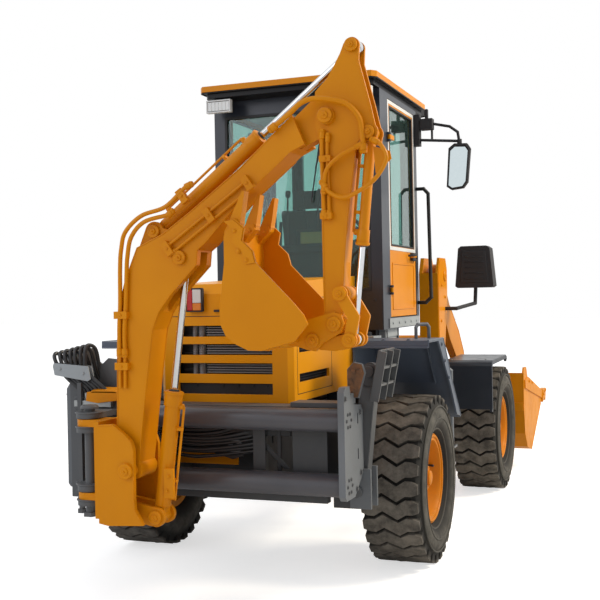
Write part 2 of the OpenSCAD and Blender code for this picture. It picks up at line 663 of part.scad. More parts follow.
module swing_post() color(yellow) {
    difference() {
        union() {
            for (z = [606, 1016]) {
                translate([swing_x, py, z]) cylinder(h = 40, r = 68);
                box([swing_x, py - 68, z], [-400, py + 68, z + 40]);
            }
            // back plate, floor and two cheeks
            box([-430, py - post_in - cheek_t, 525], [-400, py + post_in + cheek_t, 1056]);
            box([-420, py - post_in - cheek_t, 525], [-200, py + post_in + cheek_t, 555]);
            for (y = [-post_in - cheek_t, post_in]) plate_xz([[-408, 500], [-402, 1041], [-313, 1046],
                [-234, 991], [-197, 954], [-183, 911],
                [-186, 641], [-181, 587], [-151, 535], [-134, 503], [-351, 490]], py + y, py + y + cheek_t);
            // ears of the lift cylinder
            for (y = [-57, 57]) slab_xz(py + y, cheek_t) {
                translate(lift_base) circle(52);
                polygon([[-420, 530], [-420, 640], [-199, 604], [-80, 583], [-95, 484], [-136, 486],
                    [-199, 500], [-380, 500]]);
            }
            pin_y(foot, py, pin_r, 2 * (post_in + cheek_t) + 30);
            pin_y(foot, py, 40, 2 * (post_in + cheek_t) + 12);
            pin_y(lift_base, py, pin_r, 160);
            pin_y(lift_base, py, 36, 148);
        }
        for (z = [590, 1000]) translate([swing_x, py, z]) cylinder(h = 80, r = 30.5);
        // room for the boom foot and the lift cylinder
        difference() {
            pin_y(foot, py, 76, 2 * boom_half + 12);
            pin_y(foot, py, pin_r, 400);
        }
        difference() {
            pin_y(lift_base, py, 60, 86);
            pin_y(lift_base, py, pin_r, 400);
        }
    }
}

// side profile of the boom, from the foot up its back, round the tip and down its belly
boom_back = [[-290, 790], [-316, 1035], [-305, 1503], [-285, 1696], [-251, 1821], [-205, 1930],
    [-172, 2005], [-10, 2075],
    [155, 2185], [452, 2400], [738, 2645], [849, 2737], [960, 2712]];
boom_belly = [[985, 2650], [950, 2590], [872, 2527], [734, 2465], [489, 2268], [383, 2164], [240, 2017],
    [192, 1981],
    [184, 1901], [20, 1740], [-50, 1650], [-89, 1557], [-133, 1258], [-187, 820], [-200, 750], [-260, 745]];

module boom() color(yellow) {
    difference() {
        union() {
            plate_xz(concat(boom_back, boom_belly), py - boom_half, py + boom_half);
            pin_y(foot, py, 58, 2 * boom_half);
            pin_y(elbow, py, 62, 2 * (stick_half - stick_t - side_gap));
            // ears of the stick cylinder
            for (y = [-54, 54]) slab_xz(py + y, 24) {
                translate(stick_base) circle(54);
                polygon([[-200, 1900], [-172, 2005], [-128, 2110], [-25, 2108], [30, 2090], [-60, 1960]]);
            }
            pin_y(stick_base, py, pin_r, 148);
            pin_y(lift_eye, py, pin_r + 10, 2 * boom_half + 24);
        }
        pin_y(foot, py, pin_r + run_gap, 400);
        // slot for the lift cylinder's rod
        slab_xz(py, 80) polygon([[-70, 1480], [200, 1480], [215, 1860], [180, 2024], [0, 2024], [-30, 1800]]);
        // the tip is a tongue between the stick's cheeks, with a slot for each cheek's swing
        for (y = [-1, 1]) {
            translate([0, y * (boom_half + 20), 0]) slab_xz(py,
                2 * (boom_half + 20 - stick_half + stick_t + side_gap))
                polygon([[835, 2450], [720, 2720], [1100, 2800], [1100, 2400]]);
            pin_y(elbow, py + y * (stick_half - stick_t / 2), 216, stick_t + 2 * side_gap);
        }
        pin_y(elbow, py, pin_r + run_gap, 400);
    }
}

module boom_barrel() color(yellow) barrel_y(lift_base, lift_eye, boom_cyl, py, 74);
module boom_rod() color([0.75, 0.76, 0.78]) rod_y(lift_base, lift_eye, boom_cyl, 42, py, 60);

// side profile of the stick, from its head down the boom's side, round the wrist and up
stick_left = [[1024, 3001], [1004, 2953], [971, 2895], [932, 2833], [865, 2768], [862, 2600], [892, 2469],
    [887, 2265], [890, 1580]];
stick_right = [[985, 1580], [1006, 1893], [1035, 2175], [1057, 2306], [1079, 2481], [1106, 2509],
    [1163, 2485], [1185, 2498],
    [1191, 2533], [1157, 2686], [1101, 2907], [1105, 2982]];

module stick() color(yellow) difference() {
    union() {
        for (y = [-1, 1]) {
            slab_xz(py + y * (stick_half - stick_t / 2), stick_t) {
                polygon(concat(stick_left, stick_right));
                translate(stick_eye) circle(41);
                translate(curl_base) circle(49);
            }
            pin_y(stick_eye, py + y * (stick_half + 6), pin_r + 6, 16);
        }
        // closed shaft below the elbow
        plate_xz([[892, 2469], [887, 2265], [890, 1590], [985, 1590], [1006, 1893], [1035, 2175],
            [1068, 2420]], py - stick_half, py + stick_half);
        pin_y(wrist, py, 56, 2 * stick_half);
        pin_y(lever_pin, py, 40, 2 * stick_half);
        pin_y(elbow, py, pin_r, 2 * stick_half + 60);
        pin_y(elbow, py, 46, 2 * stick_half + 44);
        pin_y(curl_base, py, pin_r, 2 * stick_half + 20);
        pin_y(lever_pin, py, pin_r, 2 * lever_y + 26);
    }
    pin_y(wrist, py, pin_r + run_gap, 400);
    // gap between the cheeks for the boom's tongue
    difference() {
        pin_y(elbow, py, 120, 2 * (stick_half - stick_t));
        pin_y(elbow, py, pin_r, 400);
    }
}

module stick_barrel() color(yellow) barrel_y(stick_base, stick_eye, stick_cyl, py, 74);
module stick_rod() color([0.75, 0.76, 0.78]) rod_y(stick_base, stick_eye, stick_cyl, 40, py, 66);
module bucket_barrel() color(yellow) barrel_y(curl_base, lever_end, curl_cyl, py, 68);
module bucket_rod() color([0.75, 0.76, 0.78]) rod_y(curl_base, lever_end, curl_cyl, 34, py, 46);

// from the stick outwards: link, bucket ear, lever; each row is its middle and its thickness
link_y = [41, 24];
ear_y = [68, 20];
lever_y = 91;
lever_bend = [1062, 1612];

module bucket_lever() color(yellow) for (s = [-1, 1]) difference() {
    union() {
        slab_xz(py + s * lever_y, 18) {
            link_2d(lever_pin, lever_bend, 40, 30, 30);
            link_2d(lever_bend, lever_end, 30, 40, 30);
        }
        pin_y(lever_end, py + s * (lever_y + 2), pin_r + 4, 22);
    }
    pin_y(lever_pin, py + s * lever_y, pin_r + run_gap, 60);
}

// curved link between the lever's end and the bucket's ear
module bucket_link() color(yellow) for (s = [-1, 1]) difference() {
    slab_xz(py + s * link_y[0], link_y[1]) {
        translate(lever_end) circle(38);
        translate(ear_pin) circle(38);
        polygon([lever_end + [0, 36], [935, 1512], ear_pin + [8, 37], ear_pin + [-30, -20], [868, 1446],
            [949, 1440], lever_end + [7, -38]]);
    }
    pin_y(ear_pin, py + s * link_y[0], pin_r + run_gap, 60);
}

module digging_bucket() color(yellow) {
    // outer and inner profile of the shell, from the lip round the back to the ears
    shell = [[424, 2036], [424, 1900], [393, 1660], [397, 1586], [424, 1530], [470, 1490], [548, 1454],
        [620, 1452], [700, 1474], [800, 1500]];
    inside = [[440, 2050], [440, 1898], [409, 1660], [412, 1592], [437, 1541], [480, 1504], [552, 1470],
        [618, 1468], [696, 1490], [756, 1506], [768, 1440]];
    difference() {
        plate_xz(concat([[485, 2127]], shell, [[872, 1585], [850, 1632], [790, 1700], [600, 1895],
            [583, 1958], [527, 2012], [540, 2074]]), py - dig_half, py + dig_half);
        plate_xz(concat(inside, [[900, 1440], [900, 2200],
            [460, 2200]]), py - dig_half + 14, py + dig_half - 14);
    }
    // ears on the back of the bucket
    for (s = [-1, 1]) slab_xz(py + s * ear_y[0], ear_y[1])
        polygon([[680, 1476], [760, 1462], [800, 1448], [850, 1440], [885, 1480], [985, 1535],
            [1004, 1580], [990, 1625], [950, 1640], [800, 1600], [690, 1500]]);
    pin_y(wrist, py, pin_r, 2 * ear_y[0] + ear_y[1] + 12);
    pin_y(ear_pin, py, pin_r, 2 * ear_y[0] + ear_y[1] + 12);
    // teeth: socket on the lip and point
    for (y = [-205, 0, 205]) {
        plate_xz([[424, 2000], [424, 2060], [452, 2110], [500, 2110], [506, 2080],
            [446, 2020]], py + y - 36, py + y + 36);
        plate_xz([[430, 2060], [462, 2140], [524, 2264], [537, 2262], [521, 2160],
            [506, 2080]], py + y - 28, py + y + 28);
    }
}

// ---------- stabilisers ----------

module leg() color(grey) {
    difference() {
        slab_xz(leg_y, 80) link_2d(leg_pin, pad_pin, 62, 50, 46);
        pin_y(leg_pin, leg_y, pin_r + run_gap, 200);
        // fork for the pad's lugs
        for (y = [-31, 31]) pin_y(pad_pin, leg_y + y, 92, 22);
    }
    pin_y(pad_pin, leg_y, pin_r, 110);
}

// ribbed foot plate, drawn along u with its ribs out along n
module pad() color(grey) {
    u = [0.194, 0.981];
    n = [0.981, -0.194];
    c = pad_pin + n * 62;
    difference() {
        union() {
            plate_xz([c - u * 150, c + u * 145, c + u * 145 + n * 16, c - u * 150 + n * 16], leg_y - 150,
                leg_y + 150);
            for (y = [-150, -7, 136])
                plate_xz([c - u * 145 + n * 10, c + u * 140 + n * 10, c + u * 140 + n * 52,
                    c - u * 145 + n * 52], leg_y + y, leg_y + y + 14);
            for (v = [-50, 50])
                plate_xz([c + u * (v - 7) + n * 10, c + u * (v + 7) + n * 10, c + u * (v + 7) + n * 46,
                    c + u * (v - 7) + n * 46], leg_y - 145, leg_y + 145);
            for (y = [-31, 31]) slab_xz(leg_y + y, 16) {
                translate(pad_pin) circle(40);
                polygon([c - u * 55 + n * 8, pad_pin - u * 39, pad_pin + u * 39, c + u * 55 + n * 8]);
            }
        }
        pin_y(pad_pin, leg_y, pin_r + run_gap, 160);
    }
}

rear_frame();
slide_frame();
slide_tubes();
rear_axle();
engine_block();
engine_hood();
radiator();
cab_shell();
cab_roof();
cab_glass();
cab_interior();
seat_cushion();
seat_back();
head_rest();
rear_fenders();
side_tanks();
steps();
rear_lamps();
mirrors();
front_frame();
loader_towers();
front_axle();
front_fenders();
headlamps();
color(dark) at_wheel(1, ra) tyre();  // tyre_rear_right
color(dark) at_wheel(-1, ra) tyre();  // tyre_rear_left
color(dark) at_wheel(1, fa) tyre();  // tyre_front_right
color(dark) at_wheel(-1, fa) tyre();  // tyre_front_left
color(yellow) at_wheel(1, ra) rim();  // rim_rear_right
color(yellow) at_wheel(-1, ra) rim();  // rim_rear_left
color(yellow) at_wheel(1, fa) rim();  // rim_front_right
color(yellow) at_wheel(-1, fa) rim();  // rim_front_left
door(1);  // door_right
door(-1);  // door_left
door_glass(1);  // door_glass_right
door_glass(-1);  // door_glass_left
loader_arms();
lift_barrels();
lift_rods();
loader_bucket();
tilt_barrel();
tilt_rod();
carriage();
swing_post();
boom();
boom_barrel();
boom_rod();
stick();
stick_barrel();
stick_rod();
bucket_barrel();
bucket_rod();
bucket_lever();
bucket_link();
digging_bucket();
leg();  // leg_right
mirror([1, 0, 0]) leg();  // leg_left
pad();  // pad_right
mirror([1, 0, 0]) pad();  // pad_left
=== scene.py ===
"""Looks of an articulated backhoe loader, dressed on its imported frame.

Every length is in metres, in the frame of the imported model: +X to the
machine's right, +Y forward to the loader bucket, +Z up, ground at zero.
"""

import json
import logging
import math
import random
from dataclasses import dataclass
from enum import Enum
from typing import Any, Sequence

import bmesh
import bpy
from mathutils import Matrix, Vector

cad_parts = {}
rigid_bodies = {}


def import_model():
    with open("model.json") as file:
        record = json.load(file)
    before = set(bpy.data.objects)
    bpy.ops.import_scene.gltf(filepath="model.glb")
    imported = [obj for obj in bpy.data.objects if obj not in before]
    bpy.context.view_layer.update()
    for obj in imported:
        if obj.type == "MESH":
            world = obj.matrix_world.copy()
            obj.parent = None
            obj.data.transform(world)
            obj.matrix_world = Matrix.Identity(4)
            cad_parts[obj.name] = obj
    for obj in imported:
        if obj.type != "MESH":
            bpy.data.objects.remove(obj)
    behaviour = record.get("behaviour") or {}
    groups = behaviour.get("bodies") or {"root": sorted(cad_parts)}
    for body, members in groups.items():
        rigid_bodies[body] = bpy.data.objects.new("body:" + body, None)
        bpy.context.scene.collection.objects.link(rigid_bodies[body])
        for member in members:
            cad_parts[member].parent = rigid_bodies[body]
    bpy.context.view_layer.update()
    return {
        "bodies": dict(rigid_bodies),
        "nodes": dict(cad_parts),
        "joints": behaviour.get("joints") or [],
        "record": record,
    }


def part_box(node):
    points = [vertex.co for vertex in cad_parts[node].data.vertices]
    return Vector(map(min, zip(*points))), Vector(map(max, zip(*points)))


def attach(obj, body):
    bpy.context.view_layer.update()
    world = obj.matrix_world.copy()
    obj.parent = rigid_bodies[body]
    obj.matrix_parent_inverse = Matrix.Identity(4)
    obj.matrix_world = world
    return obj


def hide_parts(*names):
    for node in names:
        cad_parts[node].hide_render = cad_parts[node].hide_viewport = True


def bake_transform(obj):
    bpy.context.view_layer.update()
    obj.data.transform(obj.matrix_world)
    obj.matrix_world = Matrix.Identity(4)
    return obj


LOG = logging.getLogger("backhoe_loader")
Point = tuple[float, float, float]
Flat = tuple[float, float]

REAR_AXLE_Y = -1.530
FRONT_AXLE_Y = 1.090
AXLE_Z = 0.5375
TRACK_HALF = 0.931
ARM_Y = REAR_AXLE_Y - 1.460
SLIDE_Y = REAR_AXLE_Y - 1.110
# the roof panel's lower edge, where its enamel is masked
ROOF_LINE = 3.2235
# pins of the digging arm: x and z in the arm's plane
ARM_PINS: dict[str, Flat] = {
    "foot": (-0.229, 0.795),
    "lift_base": (-0.099, 0.534),
    "lift_eye": (0.089, 1.944),
    "stick_base": (-0.077, 2.092),
    "elbow": (0.925, 2.640),
    "stick_eye": (1.065, 2.987),
    "curl_base": (1.145, 2.543),
    "lever_pin": (0.990, 1.732),
    "wrist": (0.950, 1.579),
    "ear_pin": (0.834, 1.496),
    "lever_end": (1.036, 1.498),
}


def linear(hex_value: str) -> tuple[float, float, float, float]:
    """Turn an sRGB hex colour to linear values.

    Args:
        hex_value: the colour as "#RRGGBB".

    Returns:
        Linear red, green, blue and an alpha of one.
    """
    parts = [int(hex_value[i:i + 2], 16) / 255 for i in (1, 3, 5)]
    flat = [v / 12.92 if v <= 0.04045 else ((v + 0.055) / 1.055) ** 2.4 for v in parts]
    return flat[0], flat[1], flat[2], 1.0


def add_node(tree: bpy.types.NodeTree, kind: str, inputs: dict[Any, Any] | None = None,
             **settings: Any) -> bpy.types.Node:
    """Add one shader node with its settings, values and links.

    Args:
        tree: the node tree that gets the node.
        kind: the node's type, without the "ShaderNode" prefix.
        inputs: socket name or index to a value, or to the output that feeds it.
        settings: attributes of the node itself.

    Returns:
        The new node.
    """
    node = tree.nodes.new("ShaderNode" + kind)
    for name, value in settings.items():
        setattr(node, name, value)
    for name, value in (inputs or {}).items():
        if isinstance(value, bpy.types.NodeSocket):
            tree.links.new(value, node.inputs[name])
        else:
            node.inputs[name].default_value = value
    return node


class Wear(Enum):
    """How much use a painted surface shows."""

    CLEAN = 0.10
    WORKED = 0.26


class Side(Enum):
    """The machine's two sides, by the sign of x."""

    RIGHT = 1
    LEFT = -1

    @property
    def word(self) -> str:
        """The side's name in lower case."""
        return self.name.lower()


class Axis(Enum):
    """The direction that a flat outline is given its thickness along."""

    X = 0
    Y = 1
    Z = 2

    def lift(self, u: float, v: float, w: float) -> Vector:
        """Place the outline's point (u, v) at depth w along this axis."""
        return Vector({Axis.X: (w, u, v), Axis.Y: (u, w, v), Axis.Z: (u, v, w)}[self])


# ---------- finishes ----------

@dataclass(frozen=True)
class Finish:
    """A finish that a shader makes from a few measured values."""

    name: str
    tone: str
    second_tone: str
    roughness: float

    def build(self) -> bpy.types.Material:
        """Return the material of this finish, made on first use."""
        found = bpy.data.materials.get(self.name)
        if found is not None:
            return found
        material = bpy.data.materials.new(self.name)
        material.use_nodes = True
        tree = material.node_tree
        tree.nodes.clear()
        shader = self.shade(tree)
        add_node(tree, "OutputMaterial", {"Surface": shader.outputs[0]})
        return material

    def shade(self, tree: bpy.types.NodeTree) -> bpy.types.Node:
        """Make the finish's shader node.

        Args:
            tree: the material's node tree.

        Returns:
            The shader node that feeds the output.
        """
        return add_node(tree, "BsdfPrincipled", {
            "Base Color": linear(self.tone), "Roughness": self.roughness})


@dataclass(frozen=True)
class Enamel(Finish):
    """Sprayed two-pack enamel on welded steel plate.

    The tone drifts a little from panel to panel, dust settles low down and
    on faces that look up, and the sprayed skin has a fine orange peel that
    breaks the highlights.
    """

    dust: str = "#8C6A3C"
    wear: Wear = Wear.CLEAN
    dust_top: float = 1.3
    coat: float = 0.04
    gloss: float = 0.18
    peel_mm: float = 9.0

    def shade(self, tree: bpy.types.NodeTree) -> bpy.types.Node:
        """Make the enamel's shader node.

        Args:
            tree: the material's nodes.

        Returns:
            The shader node.
        """
        place = add_node(tree, "TexCoord").outputs["Object"]
        body = self.base(tree, place)
        height = add_node(tree, "SeparateXYZ", {0: place})
        low = add_node(tree, "MapRange", {
            0: height.outputs[2], "From Min": self.dust_top, "From Max": 0.2, "To Min": 0.12, "To Max": 1.0})
        normal = add_node(tree, "SeparateXYZ", {0: add_node(tree, "NewGeometry").outputs["Normal"]})
        upward = add_node(tree, "MapRange", {
            0: normal.outputs[2], "From Min": 0.2, "From Max": 1.0, "To Min": 0.55, "To Max": 1.35})
        patch = add_node(tree, "TexNoise", {"Vector": place, "Scale": 9.0, "Detail": 7.0, "Roughness": 0.62})
        spots = add_node(tree, "MapRange", {
            0: patch.outputs["Fac"], "From Min": 0.46, "From Max": 0.74, "To Min": 0.0, "To Max": 1.0})
        settled = add_node(tree, "Math", {0: low.outputs[0], 1: upward.outputs[0]}, operation="MULTIPLY")
        film = add_node(tree, "Math", {0: settled.outputs[0], 1: spots.outputs[0]}, operation="MULTIPLY")
        share = add_node(tree, "Math", {0: film.outputs[0], 1: self.wear.value}, operation="MULTIPLY")
        tone = add_node(tree, "Mix", {
            0: share.outputs[0], 6: body, 7: linear(self.dust)}, data_type="RGBA")
        matt = add_node(tree, "MapRange", {
            0: film.outputs[0], "From Min": 0.0, "From Max": 0.8,
            "To Min": self.roughness, "To Max": min(1.0, self.roughness + 0.35)})
        # the peel of sprayed enamel is about 2 mm; it is drawn coarser so that it shows
        skin = add_node(tree, "TexNoise", {"Vector": place, "Scale": 1000 / self.peel_mm, "Detail": 2.0})
        bump = add_node(tree, "Bump", {"Height": skin.outputs["Fac"], "Strength": 0.05, "Distance": 0.002})
        return add_node(tree, "BsdfPrincipled", {
            "Base Color": tone.outputs[2], "Roughness": matt.outputs[0], "Normal": bump.outputs[0],
            "Specular IOR Level": self.gloss, "Coat Weight": self.coat, "Coat Roughness": 0.15, "IOR": 1.45})

    def base(self, tree: bpy.types.NodeTree, place: bpy.types.NodeSocket) -> bpy.types.NodeSocket:
        """Make the clean enamel's tone, which drifts from panel to panel.

        Args:
            tree: the material's nodes.
            place: the point on the piece.

        Returns:
            The tone's socket.
        """
        broad = add_node(tree, "TexNoise", {"Vector": place, "Scale": 1.6, "Detail": 3.0, "Roughness": 0.5})
        drift = add_node(tree, "MapRange", {
            0: broad.outputs["Fac"], "From Min": 0.35, "From Max": 0.65, "To Min": 0.0, "To Max": 1.0})
        return add_node(tree, "Mix", {
            0: drift.outputs[0], 6: linear(self.tone), 7: linear(self.second_tone)},
            data_type="RGBA").outputs[2]


@dataclass(frozen=True)
class TwoTone(Enamel):
    """Enamel with a second tone on one side of a line: a masked second enamel on the roof and steps, painted
    shade on the slide frame.
    """

    other: str = "#1B1C1E"
    axis: Axis = Axis.Z
    line: float = 0.0
    inside: bool = True

    def base(self, tree: bpy.types.NodeTree, place: bpy.types.NodeSocket) -> bpy.types.NodeSocket:
        """Make the tone on both sides of the masked line.

        Args:
            tree: the material's nodes.
            place: the point on the piece.

        Returns:
            The tone's socket.
        """
        first = super().base(tree, place)
        spot = add_node(tree, "SeparateXYZ", {0: place}).outputs[self.axis.value]
        reach = add_node(tree, "Math", {0: spot}, operation="ABSOLUTE").outputs[0]
        beyond = add_node(tree, "Math", {0: reach, 1: self.line},
                          operation="LESS_THAN" if self.inside else "GREATER_THAN")
        return add_node(tree, "Mix", {
            0: beyond.outputs[0], 6: first, 7: linear(self.other)}, data_type="RGBA").outputs[2]


@dataclass(frozen=True)
class Rubber(Finish):
    """Moulded natural rubber of a traction tyre.

    Black inside the grooves, tan with dry earth on the tread bars, and with
    a paler ring of dust on the side wall.
    """

    earth: str = "#8B847A"
    ring_dust: str = "#77746C"

    def shade(self, tree: bpy.types.NodeTree) -> bpy.types.Node:
        """Make the rubber's shader node.

        Args:
            tree: the material's nodes.

        Returns:
            The shader node.
        """
        coord = add_node(tree, "TexCoord")
        place = coord.outputs["Object"]
        centred = add_node(tree, "VectorMath", {0: coord.outputs["Generated"], 1: (0.5, 0.5, 0.5)},
                           operation="SUBTRACT")
        flat = add_node(tree, "VectorMath", {0: centred.outputs[0], 1: (0.0, 2.0, 2.0)},
                        operation="MULTIPLY")
        radius = add_node(tree, "VectorMath", {0: flat.outputs[0]}, operation="LENGTH").outputs["Value"]
        tread = add_node(tree, "MapRange", {
            0: radius, "From Min": 0.945, "From Max": 0.99, "To Min": 0.0, "To Max": 0.62})
        patch = add_node(tree, "TexNoise", {"Vector": place, "Scale": 11.0, "Detail": 8.0,
                                            "Roughness": 0.68})
        spots = add_node(tree, "MapRange", {
            0: patch.outputs["Fac"], "From Min": 0.34, "From Max": 0.64, "To Min": 0.22, "To Max": 1.0})
        share = add_node(tree, "Math", {0: tread.outputs[0], 1: spots.outputs[0]}, operation="MULTIPLY")
        # the dust ring lies between the bead and the shoulder
        ring = add_node(tree, "MapRange", {
            0: radius, "From Min": 0.60, "From Max": 0.72, "To Min": 0.0, "To Max": 1.0},
            interpolation_type="SMOOTHSTEP")
        outer = add_node(tree, "MapRange", {
            0: radius, "From Min": 0.80, "From Max": 0.90, "To Min": 1.0, "To Max": 0.0},
            interpolation_type="SMOOTHSTEP")
        band = add_node(tree, "Math", {0: ring.outputs[0], 1: outer.outputs[0]}, operation="MULTIPLY")
        grey = add_node(tree, "Math", {0: band.outputs[0], 1: spots.outputs[0]}, operation="MULTIPLY")
        thin = add_node(tree, "Math", {0: grey.outputs[0], 1: 0.55}, operation="MULTIPLY")
        side = add_node(tree, "Mix", {
            0: thin.outputs[0], 6: linear(self.tone), 7: linear(self.ring_dust)}, data_type="RGBA")
        tone = add_node(tree, "Mix", {
            0: share.outputs[0], 6: side.outputs[2], 7: linear(self.earth)}, data_type="RGBA")
        grain = add_node(tree, "TexNoise", {"Vector": place, "Scale": 120.0, "Detail": 4.0})
        bump = add_node(tree, "Bump", {"Height": grain.outputs["Fac"], "Strength": 0.3, "Distance": 0.003})
        return add_node(tree, "BsdfPrincipled", {
            "Base Color": tone.outputs[2], "Roughness": self.roughness, "Normal": bump.outputs[0],
            "Specular IOR Level": 0.3})


@dataclass(frozen=True)
class Metal(Finish):
    """Bare metal: chrome, zinc plate, worn steel or silvering, duller in small patches."""

    streak: float = 0.04

    def shade(self, tree: bpy.types.NodeTree) -> bpy.types.Node:
        """Make the metal's shader node.

        Args:
            tree: the material's nodes.

        Returns:
            The shader node.
        """
        place = add_node(tree, "TexCoord").outputs["Object"]
        fine = add_node(tree, "TexNoise", {"Vector": place, "Scale": 60.0, "Detail": 3.0})
        matt = add_node(tree, "MapRange", {
            0: fine.outputs["Fac"], "From Min": 0.3, "From Max": 0.7,
            "To Min": self.roughness, "To Max": self.roughness + self.streak})
        tone = add_node(tree, "Mix", {
            0: fine.outputs["Fac"], 6: linear(self.tone), 7: linear(self.second_tone)}, data_type="RGBA")
        return add_node(tree, "BsdfPrincipled", {
            "Base Color": tone.outputs[2], "Metallic": 1.0, "Roughness": matt.outputs[0]})


@dataclass(frozen=True)
class Mould(Finish):
    """Moulded ABS, hose rubber or lamp lens: one tone with a moulded grain."""

    grain_mm: float = 1.5
    relief: float = 0.08

    def shade(self, tree: bpy.types.NodeTree) -> bpy.types.Node:
        """Make the moulding's shader node.

        Args:
            tree: the material's nodes.

        Returns:
            The shader node.
        """
        place = add_node(tree, "TexCoord").outputs["Object"]
        # a moulded grain is under a millimetre; it is drawn four times as coarse so that it shows
        cells = add_node(tree, "TexVoronoi", {"Vector": place, "Scale": 1000 / self.grain_mm / 4})
        bump = add_node(tree, "Bump", {
            "Height": cells.outputs["Distance"], "Strength": self.relief, "Distance": 0.001})
        broad = add_node(tree, "TexNoise", {"Vector": place, "Scale": 5.0, "Detail": 5.0})
        tone = add_node(tree, "Mix", {
            0: broad.outputs["Fac"], 6: linear(self.tone), 7: linear(self.second_tone)}, data_type="RGBA")
        return add_node(tree, "BsdfPrincipled", {
            "Base Color": tone.outputs[2], "Roughness": self.roughness, "Normal": bump.outputs[0]})


@dataclass(frozen=True)
class Rust(Finish):
    """Hot-rolled plate left bare: mill scale with soft brown rust in blotches."""

    def shade(self, tree: bpy.types.NodeTree) -> bpy.types.Node:
        """Make the rusted plate's shader node.

        Args:
            tree: the material's nodes.

        Returns:
            The shader node.
        """
        place = add_node(tree, "TexCoord").outputs["Object"]
        blotch = add_node(tree, "TexNoise", {"Vector": place, "Scale": 22.0, "Detail": 8.0,
                                             "Roughness": 0.7})
        share = add_node(tree, "MapRange", {
            0: blotch.outputs["Fac"], "From Min": 0.38, "From Max": 0.60, "To Min": 0.0, "To Max": 1.0})
        tone = add_node(tree, "Mix", {
            0: share.outputs[0], 6: linear(self.tone), 7: linear(self.second_tone)}, data_type="RGBA")
        bump = add_node(tree, "Bump", {"Height": blotch.outputs["Fac"], "Strength": 0.35, "Distance": 0.003})
        return add_node(tree, "BsdfPrincipled", {
            "Base Color": tone.outputs[2], "Roughness": self.roughness, "Normal": bump.outputs[0]})


@dataclass(frozen=True)
class Cloth(Finish):
    """Woven polyester seat cloth, its plain weave drawn at 4 mm so that it shows."""

    thread_mm: float = 4.0

    def shade(self, tree: bpy.types.NodeTree) -> bpy.types.Node:
        """Make the seat cloth's shader node.

        Args:
            tree: the material's nodes.

        Returns:
            The shader node.
        """
        place = add_node(tree, "TexCoord").outputs["Object"]
        scale = 1000 / self.thread_mm / 6.283
        warp = add_node(tree, "TexWave", {"Vector": place, "Scale": scale}, bands_direction="X")
        weft = add_node(tree, "TexWave", {"Vector": place, "Scale": scale}, bands_direction="DIAGONAL")
        weave = add_node(tree, "Math", {0: warp.outputs["Fac"], 1: weft.outputs["Fac"]},
                         operation="MULTIPLY")
        tone = add_node(tree, "Mix", {
            0: weave.outputs[0], 6: linear(self.tone), 7: linear(self.second_tone)}, data_type="RGBA")
        bump = add_node(tree, "Bump", {"Height": weave.outputs[0], "Strength": 0.4, "Distance": 0.001})
        return add_node(tree, "BsdfPrincipled", {
            "Base Color": tone.outputs[2], "Roughness": self.roughness, "Normal": bump.outputs[0],
            "Sheen Weight": 0.35, "Sheen Roughness": 0.5})


@dataclass(frozen=True)
class Glass(Finish):
    """Toughened sheet glass with a green-blue body tint and a little dust."""

    clear: float = 0.97

    def shade(self, tree: bpy.types.NodeTree) -> bpy.types.Node:
        """Make the glass's shader node: a tinted clear pane with a glossy skin.

        Args:
            tree: the material's nodes.

        Returns:
            The shader node.
        """
        place = add_node(tree, "TexCoord").outputs["Object"]
        film = add_node(tree, "TexNoise", {"Vector": place, "Scale": 3.0, "Detail": 6.0})
        matt = add_node(tree, "MapRange", {
            0: film.outputs["Fac"], "From Min": 0.4, "From Max": 0.8,
            "To Min": self.roughness, "To Max": self.roughness + 0.06})
        return add_node(tree, "BsdfPrincipled", {
            "Base Color": linear(self.tone), "Roughness": matt.outputs[0],
            "Transmission Weight": self.clear, "IOR": 1.45})


